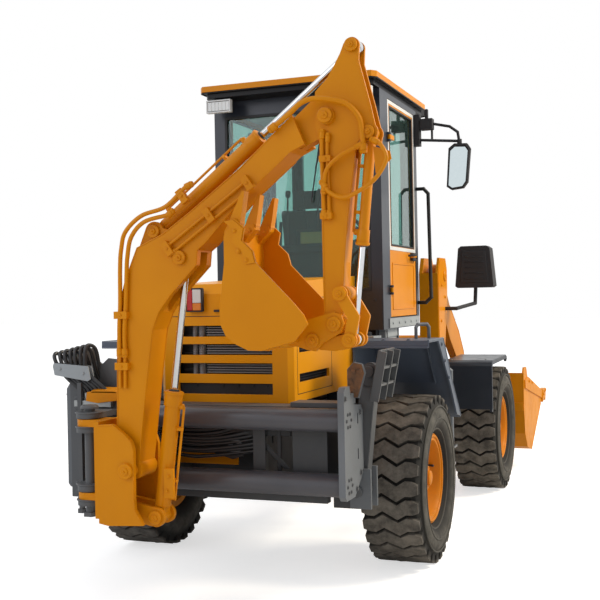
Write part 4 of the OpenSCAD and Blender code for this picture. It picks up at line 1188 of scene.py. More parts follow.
@dataclass
class PinDress:
    """Turned cap, retaining bolt and grease nipple on each end of a pin."""

    name: str
    spot: Flat
    half: float
    radius: float
    body: str

    def build(self) -> None:
        """Fit both ends of the pin."""
        x, z = self.spot
        r = self.radius
        caps = Stock("pin_caps_" + self.name)
        for s in (-1, 1):
            seat = (x, ARM_Y + s * self.half, z)
            caps.turned([(-0.004, r + 0.012), (0.005, r + 0.012), (0.008, r + 0.009)], seat, (0, s, 0), 28)
            caps.turned([(0.006, r * 0.72), (0.013, r * 0.70), (0.016, r * 0.60)], seat, (0, s, 0), 24)
            caps.turned([(0.014, 0.005), (0.022, 0.005), (0.024, 0.003), (0.028, 0.004)], seat, (0, s, 0), 8)
            caps.bolt((x + (r + 0.001) * 0.86, ARM_Y + s * (self.half + 0.006), z - (r + 0.001) * 0.5),
                      (0, s, 0), 0.010)
        caps.place(Surfaces.body_enamel, self.body, 0)


@dataclass
class ArmDress:
    """Weld seams, pins, painted hoses and clamps of the digging arm."""

    boom_half: float = 0.088
    stick_half: float = 0.055
    bead: float = 0.0035

    def build(self) -> None:
        """Dress the arm from the post to the bucket."""
        for name, half, radius, body in (("foot", 0.165, 0.030, "swing_post"),
                                         ("lift_base", 0.080, 0.026, "swing_post"),
                                         ("lift_eye", 0.100, 0.026, "boom"),
                                         ("stick_base", 0.074, 0.024, "boom"),
                                         ("elbow", 0.085, 0.028, "stick"),
                                         ("stick_eye", 0.069, 0.022, "stick"),
                                         ("curl_base", 0.065, 0.022, "stick"),
                                         ("lever_pin", 0.104, 0.024, "stick"),
                                         ("wrist", 0.084, 0.026, "digging_bucket"),
                                         ("ear_pin", 0.084, 0.024, "digging_bucket"),
                                         ("lever_end", 0.104, 0.024, "bucket_lever")):
            PinDress(name, ARM_PINS[name], half, radius, body).build()
        self.seams()
        self.boom_hoses()
        self.stick_hoses()
        self.cylinders()
        self.bucket()

    def seams(self) -> None:
        """Run weld beads along the edges of the boom, the stick and the post."""
        boom = Stock("boom_welds")
        back = [(-0.316, 1.035), (-0.305, 1.503), (-0.285, 1.696), (-0.251, 1.821), (-0.205, 1.930),
                (-0.172, 2.005), (-0.010, 2.075), (0.155, 2.185), (0.452, 2.400), (0.700, 2.611)]
        belly = [(0.700, 2.437), (0.489, 2.268), (0.383, 2.164), (0.240, 2.017), (0.192, 1.981),
                 (0.184, 1.901), (0.020, 1.740), (-0.050, 1.650), (-0.089, 1.557), (-0.133, 1.258),
                 (-0.180, 0.900)]
        for line in (back, belly):
            for s in (-1, 1):
                y = ARM_Y + s * (self.boom_half + 0.0005)
                boom.tube([(x, y, z) for x, z in line], self.bead, 6)
        boom.place(Surfaces.body_enamel, "boom", 0)
        stick = Stock("stick_welds")
        left = [(0.898, 2.469), (0.893, 2.265), (0.896, 1.640)]
        right = [(0.984, 1.640), (1.001, 1.893), (1.030, 2.175), (1.052, 2.306), (1.074, 2.481),
                 (1.104, 2.515), (1.163, 2.491), (1.180, 2.503), (1.185, 2.533), (1.151, 2.686),
                 (1.096, 2.907), (1.099, 2.975)]
        for line in (left, right):
            for s in (-1, 1):
                stick.tube([(x, ARM_Y + s * (self.stick_half + 0.0005), z) for x, z in line], self.bead, 6)
        stick.place(Surfaces.body_enamel, "stick", 0)
        post = Stock("post_welds")
        edge = [(-0.402, 1.036), (-0.313, 1.042), (-0.237, 0.988), (-0.201, 0.951), (-0.188, 0.910),
                (-0.191, 0.641), (-0.186, 0.585), (-0.157, 0.535)]
        for s in (-1, 1):
            post.tube([(x, ARM_Y + s * 0.1505, z) for x, z in edge], self.bead, 6)
        post.place(Surfaces.body_enamel, "swing_post", 0)

    def boom_hoses(self) -> None:
        """Lay the painted hoses and pipes of the boom, with their clamps."""
        y = ARM_Y - self.boom_half
        hoses = Stock("boom_hoses")
        hoses.hose([(0.175, y - 0.022, 2.330), (0.137, y - 0.022, 2.313), (0.020, y - 0.024, 2.218),
                    (-0.127, y - 0.026, 2.176), (-0.228, y - 0.024, 2.094), (-0.260, y - 0.018, 2.002),
                    (-0.272, y - 0.014, 1.900), (-0.276, y - 0.014, 1.700), (-0.285, y - 0.014, 1.559),
                    (-0.284, y - 0.014, 1.420)], 0.012)
        hoses.hose([(0.060, y - 0.022, 2.192), (0.031, y - 0.022, 2.174), (-0.109, y - 0.026, 2.143),
                    (-0.192, y - 0.024, 2.065), (-0.222, y - 0.018, 1.960), (-0.232, y - 0.014, 1.860),
                    (-0.240, y - 0.014, 1.700), (-0.252, y - 0.014, 1.559), (-0.252, y - 0.014, 1.420)],
                    0.012)
        for x in (-0.284, -0.252):
            hoses.tube([(x, y - 0.014, 1.420), (x - 0.002, y - 0.014, 1.240)], 0.009)
        hoses.place(Surfaces.body_enamel, "boom", 0)
        pipes = Stock("boom_pipes")
        for shift in (0.0, 0.034):
            pipes.hose([(0.009 + shift, y - 0.014, 1.998 - shift), (0.120 + shift, y - 0.014, 2.074 - shift),
                        (0.252 + shift, y - 0.014, 2.164 - shift), (0.380 + shift, y - 0.014, 2.252 - shift),
                        (0.498 + shift, y - 0.014, 2.334 - shift)], 0.008)
        pipes.place(Surfaces.body_enamel, "boom", 0)
        clamps = Stock("boom_clamps")
        for (x, z), turn in (((0.026, 1.993), 0.6), ((0.275, 2.160), 0.6), ((0.500, 2.318), 0.6),
                             ((-0.268, 1.640), 1.57), ((-0.268, 1.360), 1.57), ((0.120, 2.270), 0.6)):
            du, dv = math.cos(turn), math.sin(turn)
            wide, high = 0.020, 0.040
            outline = [(x + du * a * wide - dv * b * high, z + dv * a * wide + du * b * high)
                       for a, b in ((-1, -1), (1, -1), (1, 1), (-1, 1))]
            clamps.prism(outline, Axis.Y, y - 0.032, y + 0.001)
            clamps.bolt((x, y - 0.032, z), (0, -1, 0), 0.014)
        clamps.place(Surfaces.body_enamel, "boom", 0.003)

    def stick_hoses(self) -> None:
        """Lay the painted hoses over the elbow and down the stick."""
        y = ARM_Y - self.stick_half
        cross = Stock("elbow_hoses")
        cross.hose([(0.640, ARM_Y - 0.112, 2.585), (0.745, ARM_Y - 0.118, 2.655),
                    (0.801, ARM_Y - 0.118, 2.700), (0.862, ARM_Y - 0.112, 2.722),
                    (0.946, ARM_Y - 0.110, 2.716), (1.042, ARM_Y - 0.100, 2.687),
                    (1.103, ARM_Y - 0.090, 2.622), (1.118, ARM_Y - 0.080, 2.556), (1.124, y - 0.018, 2.446)],
                    0.014)
        obj = cross.make(Surfaces.body_enamel, 0)
        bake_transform(obj)
        down = Stock("stick_hoses")
        down.hose([(0.905, y - 0.016, 2.560), (0.900, y - 0.014, 2.463), (0.902, y - 0.014, 2.311),
                   (0.905, y - 0.014, 2.200), (0.908, y - 0.014, 2.123)], 0.011)
        down.hose([(0.935, y - 0.016, 2.540), (0.930, y - 0.014, 2.460), (0.932, y - 0.014, 2.300),
                   (0.934, y - 0.014, 2.220), (0.934, y - 0.014, 2.122)], 0.009)
        down.hose([(0.912, y - 0.030, 2.250), (0.930, y - 0.034, 2.360), (1.000, y - 0.036, 2.424),
                   (1.063, y - 0.034, 2.455), (1.120, y - 0.022, 2.480)], 0.011)
        down.hose([(0.905, y - 0.030, 2.300), (0.946, y - 0.040, 2.246), (1.020, y - 0.050, 2.214),
                   (1.100, y - 0.052, 2.240), (1.190, y - 0.046, 2.300), (1.245, y - 0.034, 2.395),
                   (1.215, y - 0.020, 2.470), (1.170, y - 0.014, 2.500)], 0.011)
        down.place(Surfaces.body_enamel, "stick", 0)
        clamps = Stock("stick_clamps")
        for z in (2.130, 2.420):
            clamps.block((0.888, y - 0.028, z - 0.016), (0.950, y + 0.001, z + 0.016))
            clamps.bolt((0.920, y - 0.028, z), (0, -1, 0), 0.013)
        clamps.place(Surfaces.body_enamel, "stick", 0.003)

    def cylinders(self) -> None:
        """Fit glands, ports, pipes and brackets to the three cylinders."""
        for name, base, eye, length, radius, body in (
                ("lift", "lift_base", "lift_eye", 0.680, 0.044, "boom_barrel"),
                ("crowd", "stick_base", "stick_eye", 0.770, 0.040, "stick_barrel"),
                ("curl", "curl_base", "lever_end", 0.560, 0.027, "bucket_barrel")):
            start, end = (Vector((x, ARM_Y, z)) for x, z in (ARM_PINS[base], ARM_PINS[eye]))
            along = (end - start).normalized()
            out = Vector((along.z, 0.0, -along.x)) if name != "crowd" else Vector((-along.z, 0.0, along.x))
            gland = start + along * length
            fit = Stock("cylinder_fittings_" + name)
            fit.turned([(-0.006, radius + 0.010), (0.006, radius + 0.010), (0.010, radius + 0.004),
                        (0.012, radius * 0.7)],
                       tuple(gland), tuple(along), 28)
            for share in (0.16, 0.90):
                port = start + along * length * share + out * radius
                fit.turned([(-0.006, 0.016), (0.020, 0.016), (0.023, 0.013)], tuple(port), tuple(out), 12)
            lane = radius + 0.026
            points = [start + along * length * share + out * lane for share in (0.14, 0.35, 0.62, 0.90)]
            fit.tube(spline([tuple(p) for p in points]), 0.007)
            for share in (0.30, 0.72):
                spot = start + along * length * share + out * (radius + 0.012)
                fit.turned([(-0.008, 0.022), (0.008, 0.022)], tuple(spot), tuple(along), 8)
            fit.place(Surfaces.body_enamel, body, 0)
            seal = Stock("rod_wiper_" + name)
            seal.turned([(0.010, radius * 0.68), (0.015, radius * 0.66), (0.017, radius * 0.52)],
                        tuple(gland), tuple(along), 24)
            seal.place(Surfaces.seal_rubber, body, 0)
        bracket = Stock("curl_hose_bracket")
        bracket.prism([(1.168, 2.470), (1.255, 2.440), (1.262, 2.400), (1.178, 2.330)], Axis.Y,
                      ARM_Y - 0.052, ARM_Y - 0.046)
        bracket.place(Surfaces.body_enamel, "bucket_barrel", 0.002)
        union = Stock("lift_port_block")
        union.block((-0.052, ARM_Y - 0.058, 0.640), (0.006, ARM_Y - 0.040, 0.800))
        union.bolt((-0.024, ARM_Y - 0.058, 0.760), (0, -1, 0), 0.018)
        union.bolt((-0.034, ARM_Y - 0.058, 0.680), (0, -1, 0), 0.018)
        union.place(Surfaces.body_enamel, "boom_barrel", 0.008)

    def bucket(self) -> None:
        """Fit side cutters, tooth bolts and wear ribs to the digging bucket."""
        strips = Stock("side_cutters")
        line = [(0.481, 2.118), (0.536, 2.071), (0.523, 2.012), (0.579, 1.957), (0.597, 1.896)]
        for s in (-1, 1):
            y = ARM_Y + s * 0.2515
            inner = [(x - 0.052, z - 0.006) for x, z in reversed(line)]
            strips.prism([*line, *inner], Axis.Y, min(y, y + s * 0.006), max(y, y + s * 0.006))
            for x, z in ((0.500, 2.062), (0.520, 1.960), (0.562, 1.912)):
                strips.bolt((x - 0.012, y + s * 0.006, z), (0, s, 0), 0.018)
        strips.place(Surfaces.body_enamel, "digging_bucket", 0.002)
        bolts = Stock("tooth_bolts")
        for offset in (-0.205, 0.0, 0.205):
            for s in (-1, 1):
                bolts.bolt((0.474, ARM_Y + offset + s * 0.036, 2.078), (0, s, 0), 0.020)
            bolts.block((0.4985, ARM_Y + offset - 0.030, 2.100), (0.512, ARM_Y + offset + 0.030, 2.128))
        bolts.place(Surfaces.body_enamel, "digging_bucket", 0.001)
        ribs = Stock("bucket_wear_ribs")
        curve = [(0.393, 1.660), (0.397, 1.586), (0.424, 1.530), (0.470, 1.490), (0.548, 1.454),
                 (0.620, 1.452), (0.680, 1.468)]
        for y in (ARM_Y - 0.150, ARM_Y + 0.150):
            ribs.tube([(x, y, z) for x, z in curve], 0.006, 6)
        ribs.place(Surfaces.body_enamel, "digging_bucket", 0)


@dataclass
class HoseFan:
    """Black hoses that rise in a fan from the carriage, through a clamp plate."""

    count: int = 7
    radius: float = 0.0115
    first_x: float = -0.735
    pitch: float = 0.030

    def place(self, i: int) -> Flat:
        """Give the x and y of a hose's lower union.

        Args:
            i: the hose's number, from the left.

        Returns:
            Its x and its y; the hoses stand in two rows.
        """
        return self.first_x + self.pitch * i, -2.795 + 0.004 * (i % 2)

    def build(self) -> None:
        """Make the fan, its manifold, clamp and guards, all held at both ends."""
        self.hoses()
        self.plates()
        self.fittings()

    def hoses(self) -> None:
        """Bend the hoses over and seat them in the manifold."""
        fan = Stock("hose_fan")
        for i in range(self.count):
            x, lane = self.place(i)
            fan.tube(spline([(x, lane + 0.010, 1.150), (x - 0.012, lane + 0.004, 1.200),
                             (x - 0.085, lane, 1.262), (x - 0.140, lane, 1.318),
                             (x - 0.176 + 0.006 * i, lane, 1.385 + 0.008 * i),
                             (x - 0.182 + 0.008 * i, lane + 0.030, 1.412 + 0.008 * i),
                             (x - 0.160 + 0.008 * i, lane + 0.070, 1.380 + 0.008 * i),
                             (x - 0.105, lane + 0.110, 1.280), (x - 0.060, lane + 0.125, 1.180),
                             (x - 0.040, lane + 0.125, 1.080)]), self.radius)
        fan.place(Surfaces.hose_rubber, "carriage", 0)
        ends = Stock("fan_unions")
        for i in range(self.count):
            x, lane = self.place(i)
            ends.turned([(0.0, 0.013), (0.030, 0.0145), (0.034, 0.012)], (x, lane + 0.010, 1.148), (0, 0, 1),
                        12)
            ends.turned([(-0.014, 0.014), (0.002, 0.014)], (x, lane + 0.010, 1.148), (0, 0, 1), 6)
        ends.block((-0.770, -2.812, 1.100), (-0.520, -2.735, 1.136))
        ends.place(Surfaces.zinc, "carriage", 0.001)

    def plates(self) -> None:
        """Cut the clamp's two plates, the guard and the back plate."""
        plate = Stock("fan_clamp_plate")
        clamp = [(-0.912, 1.338), (-0.904, 1.356), (-0.668, 1.338), (-0.652, 1.262), (-0.672, 1.250),
                 (-0.900, 1.284)]
        for y in (-2.814, -2.776):
            plate.prism(clamp, Axis.Y, y, y + 0.006)
        for x, z in ((-0.862, 1.322), (-0.702, 1.296)):
            plate.bolt((x, -2.814, z), (0, -1, 0), 0.016)
        plate.place(Surfaces.tank_enamel, "carriage", 0.001)
        guard = Stock("fan_guard")
        guard.prism([(-0.668, 1.188), (-0.560, 1.204), (-0.452, 1.192), (-0.470, 1.140), (-0.600, 1.124),
                     (-0.676, 1.136)],
                    Axis.Y, -2.832, -2.824)
        guard.prism([(-2.832, 1.184), (-2.832, 1.194), (-2.760, 1.214), (-2.760, 1.204)], Axis.X, -0.640,
                    -0.470)
        guard.place(Surfaces.body_enamel, "carriage", 0.002)
        back = Stock("fan_back_plate")
        back.prism([(-0.660, 1.100), (-0.660, 1.330), (-0.600, 1.380), (-0.500, 1.370), (-0.452, 1.300),
                    (-0.452, 1.100)],
                   Axis.Y, -2.700, -2.692)
        back.place(Surfaces.plate_enamel, "carriage", 0.003)

    def fittings(self) -> None:
        """Fit the carriage's bolts, hinge collars and inner hoses."""
        heads = Stock("carriage_bolts")
        for x in (-0.770, -0.700):
            for z in (0.590, 0.640, 1.090, 1.140):
                heads.bolt((x, -2.780, z), (0, -1, 0), 0.030)
        heads.bolt((-0.728, -2.820, 0.560), (0, -1, 0), 0.030)
        heads.turned([(-0.060, 0.018), (0.010, 0.018)], (-0.740, -2.790, 0.545), (0, 0, 1), 12)
        heads.turned([(-0.074, 0.030), (-0.052, 0.030)], (-0.740, -2.790, 0.545), (0, 0, 1), 6)
        heads.place(Surfaces.plate_enamel, "carriage", 0.001)
        rings = Stock("carriage_collars")
        for z in (0.608, 0.694, 1.018, 1.098):
            rings.turned([(-0.002, 0.078), (0.004, 0.082), (0.008, 0.078)], (-0.550, ARM_Y, z - 0.010),
                         (0, 0, 1), 32)
        rings.turned([(-0.010, 0.052), (0.0, 0.052), (0.010, 0.044), (0.012, 0.020)], (-0.550, ARM_Y, 1.122),
                     (0, 0, 1), 32)
        rings.place(Surfaces.plate_enamel, "carriage", 0)
        inner = Stock("carriage_hoses")
        for i, (x, z) in enumerate(((-0.660, 0.900), (-0.600, 0.870), (-0.630, 0.820))):
            inner.hose([(x, -2.735, z), (x + 0.040, -2.770, z - 0.010), (x + 0.110, -2.782, z - 0.040),
                        (x + 0.170, -2.760, z - 0.050 - 0.010 * i), (x + 0.190, -2.735, z - 0.045)], 0.012)
        inner.place(Surfaces.hose_rubber, "carriage", 0)


# ---------- chassis ----------

@dataclass
class ChassisDress:
    """Channel, plates, hoses and fastenings between and round the slide tubes."""

    half: float = 0.860
    tube_z: Flat = (0.675, 1.035)
    leg_y: float = REAR_AXLE_Y - 0.800
    leg_pin: Flat = (0.840, 0.600)
    pad_pin: Flat = (0.918, 1.285)

    def build(self) -> None:
        """Dress the rear chassis."""
        self.slide()
        self.middle()
        self.sides()
        self.stabilisers()

    def slide(self) -> None:
        """Lay the channel over the slide tubes, and bolt and weld their ends."""
        channel = Stock("top_channel")
        channel.prism([(-2.548, 1.096), (-2.548, 1.044), (-2.540, 1.044), (-2.540, 1.088), (-2.400, 1.088),
                       (-2.400, 1.096)],
                      Axis.X, -0.500, 0.500)
        for low, high in ((0.500, 0.842), (-0.842, -0.500)):
            channel.prism([(-2.548, 1.120), (-2.548, 1.092), (-2.400, 1.092), (-2.400, 1.120)], Axis.X, low,
                          high)
        channel.place(Surfaces.plate_enamel, "rear_chassis", 0.002)
        caps = Stock("tube_end_bolts")
        for z in self.tube_z:
            for k in range(6):
                angle = 2 * math.pi * k / 6
                caps.bolt((self.half + 0.020, SLIDE_Y + 0.040 * math.cos(angle),
                           z + 0.040 * math.sin(angle)), (1, 0, 0), 0.016)
        for y, z in ((-2.440, 0.720), (-2.440, 1.060), (-2.520, 0.640), (-2.700, 1.160)):
            caps.bolt((self.half + 0.020, y, z), (1, 0, 0), 0.024)
        caps.mirrored().place(Surfaces.plate_enamel, "rear_chassis", 0)
        welds = Stock("tube_welds")
        for x in (-self.half + 0.020, self.half - 0.020):
            for z in self.tube_z:
                welds.tube([(x, SLIDE_Y + 0.066 * math.cos(a), z + 0.066 * math.sin(a))
                            for a in (2 * math.pi * k / 40 for k in range(41))], 0.005, 6)
        welds.place(Surfaces.tube_enamel, "rear_chassis", 0)

    def middle(self) -> None:
        """Fill the space between the slide tubes: eye, braces, beam and hoses."""
        eye = Stock("tow_eye")
        eye.turned([(-0.010, 0.046), (0.020, 0.046), (0.024, 0.042), (0.024, 0.018), (0.004, 0.016)],
                   (0.150, -2.530, 0.860), (0, -1, 0), 28)
        eye.bolt((0.150, -2.534, 0.860), (0, -1, 0), 0.020)
        eye.place(Surfaces.plate_enamel, "rear_chassis", 0)
        brace = Stock("cross_braces")
        brace.prism([(0.200, 0.990), (0.240, 0.990), (0.500, 0.740), (0.460, 0.740)], Axis.Y, -2.560, -2.548)
        brace.block((-0.300, -2.552, 0.925), (0.500, -2.532, 1.015))
        brace.block((0.415, -2.556, 0.700), (0.440, -2.532, 1.015))
        brace.prism([(-0.300, 0.900), (0.130, 0.780), (0.200, 0.800), (0.200, 0.925), (-0.300, 0.960)],
                    Axis.Y, -2.546, -2.534)
        brace.place(Surfaces.black_enamel, "rear_chassis", 0.003)
        beam = Stock("inner_beam")
        beam.prism([(-0.330, 0.735), (-0.300, 0.800), (0.080, 0.812), (0.130, 0.790), (0.130, 0.735)],
                   Axis.Y, -2.470, -2.455)
        beam.place(Surfaces.body_enamel, "rear_chassis", 0.003)
        draw = random.Random(7)
        hoses = Stock("chassis_hoses")
        for i in range(9):
            z = 0.985 - 0.019 * i
            y = -2.585 + 0.010 * (i % 3)
            sag = 0.020 + 0.030 * draw.random()
            hoses.tube(spline([(-0.480, y + 0.040, z + 0.020), (-0.350, y, z),
                               (-0.180 + 0.04 * draw.random(), y, z - sag),
                               (0.020, y + 0.010, z - 0.012 - sag * 0.5),
                               (0.160 + 0.02 * i, y + 0.030, z + 0.010), (0.260, y + 0.060, z + 0.030)]),
                               0.0105)
        hoses.place(Surfaces.hose_rubber, "rear_chassis", 0)
        collars = Stock("chassis_hose_unions")
        for i in range(9):
            z = 0.985 - 0.019 * i
            y = -2.585 + 0.010 * (i % 3)
            collars.turned([(-0.018, 0.0145), (0.018, 0.0145), (0.020, 0.013)], (-0.350, y, z), (1, 0, -0.1),
                           12)
            collars.turned([(-0.008, 0.016), (0.008, 0.016)], (-0.325, y, z - 0.003), (1, 0, -0.1), 6)
        collars.place(Surfaces.zinc, "rear_chassis", 0)

    def sides(self) -> None:
        """Fit the clevis cheeks, and the side tanks' caps and straps."""
        clevis = Stock("clevis_cheeks")
        outline = [(0.845, 1.154), (0.845, 1.308), (0.882, 1.347), (0.928, 1.337), (0.942, 1.290),
                   (0.902, 1.154)]
        for y in (-2.5435, -2.5145):
            clevis.prism(outline, Axis.Y, y, y + 0.003)
        for x, z in ((0.870, 1.185), (0.862, 1.240), (0.880, 1.300), (0.916, 1.300)):
            clevis.turned([(-0.001, 0.014), (0.006, 0.014), (0.008, 0.011)], (x, -2.5435, z), (0, -1, 0), 18)
        clevis.mirrored().place(Surfaces.rust, "rear_chassis", 0.001)
        caps = Stock("tank_caps")
        caps.turned([(0.0, 0.040), (0.022, 0.040), (0.026, 0.036), (0.030, 0.020)], (0.520, -1.110, 1.440),
                    (0, 0, 1), 24)
        caps.turned([(0.0, 0.016), (0.050, 0.016)], (0.610, -0.700, 1.300), (1, 0, 0), 16)
        caps.mirrored().place(Surfaces.black_plastic, "rear_chassis", 0.001)
        straps = Stock("tank_straps")
        for y in (-0.900, -0.600):
            straps.block((0.606, y - 0.012, 1.062), (0.613, y + 0.012, 1.478))
            straps.bolt((0.613, y, 1.100), (1, 0, 0), 0.018)
        straps.mirrored().place(Surfaces.black_enamel, "rear_chassis", 0.001)

    def stabilisers(self) -> None:
        """Fit pin caps, nuts and weld seams to both stabilisers."""
        y = self.leg_y
        leg_x, leg_z = self.leg_pin
        pad_x, pad_z = self.pad_pin
        for side in Side:
            s = side.value
            caps = Stock("leg_pin_caps_" + side.word)
            for d in (-1, 1):
                caps.turned([(-0.004, 0.036), (0.006, 0.036), (0.009, 0.032)],
                            (s * leg_x, y + d * 0.0805, leg_z), (0, d, 0), 24)
                caps.bolt((s * leg_x, y + d * 0.0855, leg_z), (0, d, 0), 0.022)
            caps.place(Surfaces.plate_enamel, "rear_chassis", 0)
            ends = Stock("pad_pin_caps_" + side.word)
            for d in (-1, 1):
                ends.turned([(-0.004, 0.033), (0.004, 0.033), (0.007, 0.029)],
                            (s * pad_x, y + d * 0.0555, pad_z), (0, d, 0), 24)
            ends.place(Surfaces.plate_enamel, "leg_" + side.word, 0)
            seam = Stock("leg_welds_" + side.word)
            along, across = Vector((s * 0.113, 0, 0.994)), Vector((s * 0.994, 0, -0.113))
            for d in (-1, 1):
                for w in (-1, 1):
                    start = Vector((s * leg_x, y + d * 0.0402, leg_z))
                    seam.tube([start + along * t + across * (w * 0.041) for t in (0.08, 0.58)], 0.003, 6)
            seam.place(Surfaces.plate_enamel, "leg_" + side.word, 0)
            wear = Stock("pad_wear_face_" + side.word)
            u, n = Vector((0.194, 0, 0.981)), Vector((0.981, 0, -0.194))
            base = Vector((pad_x, 0, pad_z)) + n * 0.062
            for t in (-0.110, 0.0, 0.110):
                spot = base + u * t + n * 0.0165
                for d in (-0.080, 0.080):
                    wear.turned([(-0.002, 0.010), (0.003, 0.010)], (s * spot.x, y + d, spot.z),
                                (s * n.x, 0, n.z), 14)
            wear.place(Surfaces.plate_enamel, "pad_" + side.word, 0)


@dataclass
class FenderDress:
    """Edge tubes, bolts and braces of the fenders, and treads of the steps."""

    def build(self) -> None:
        """Dress both pairs of fenders and the steps."""
        rear = Stock("rear_fender_edges")
        top = [(1.148, -1.878, 1.398), (1.148, -1.878, 1.438), (1.148, -1.472, 1.438),
               (1.148, -1.232, 1.142), (1.148, -0.974, 0.882)]
        rear.tube(top, 0.006, 8)
        rear.tube([(0.662, -1.882, 1.398), (1.148, -1.882, 1.398)], 0.006, 8)
        for y, z in ((-1.520, 1.400), (-1.440, 1.290), (-1.330, 1.170)):
            rear.bolt((1.150, y, z), (1, 0, 0), 0.020)
        for x in (0.70, 0.86, 1.02):
            rear.bolt((x, -1.860, 1.440), (0, 0, 1), 0.020)
        rear.mirrored().place(Surfaces.fender_enamel, "rear_chassis", 0)
        brace = Stock("rear_fender_braces")
        for x in (0.760, 1.040):
            brace.prism([(-1.860, 1.424), (-1.480, 1.424), (-1.240, 1.132), (-1.270, 1.120), (-1.500, 1.396),
                         (-1.850, 1.396)],
                        Axis.X, x, x + 0.006)
        brace.mirrored().place(Surfaces.fender_enamel, "rear_chassis", 0.001)
        front = Stock("front_fender_edges")
        front.tube([(1.112, 0.462, 0.760), (1.112, 0.462, 1.112), (1.112, 0.480, 1.144),
                    (1.112, 0.515, 1.158), (1.112, 1.168, 1.168), (1.112, 1.202, 1.156),
                    (1.112, 1.214, 1.130)], 0.005, 8)
        front.mirrored().place(Surfaces.navy_enamel, "front_chassis", 0)
        bolts = Stock("front_fender_bolts")
        for x, y in ((0.760, 0.540), (0.760, 0.700), (0.760, 1.100), (1.040, 0.600), (1.040, 1.080)):
            bolts.bolt((x, y, 1.163), (0, 0, 1), 0.020)
        bolts.mirrored().place(Surfaces.zinc, "front_chassis", 0)
        treads = Stock("step_treads")
        for z in (0.584, 0.939):
            for k in range(9):
                y = -0.728 + 0.045 * k
                treads.block((0.915, y, z - 0.0005), (0.985, y + 0.010, z + 0.004))
        treads.mirrored().place(Surfaces.plate_enamel, "rear_chassis", 0.001)


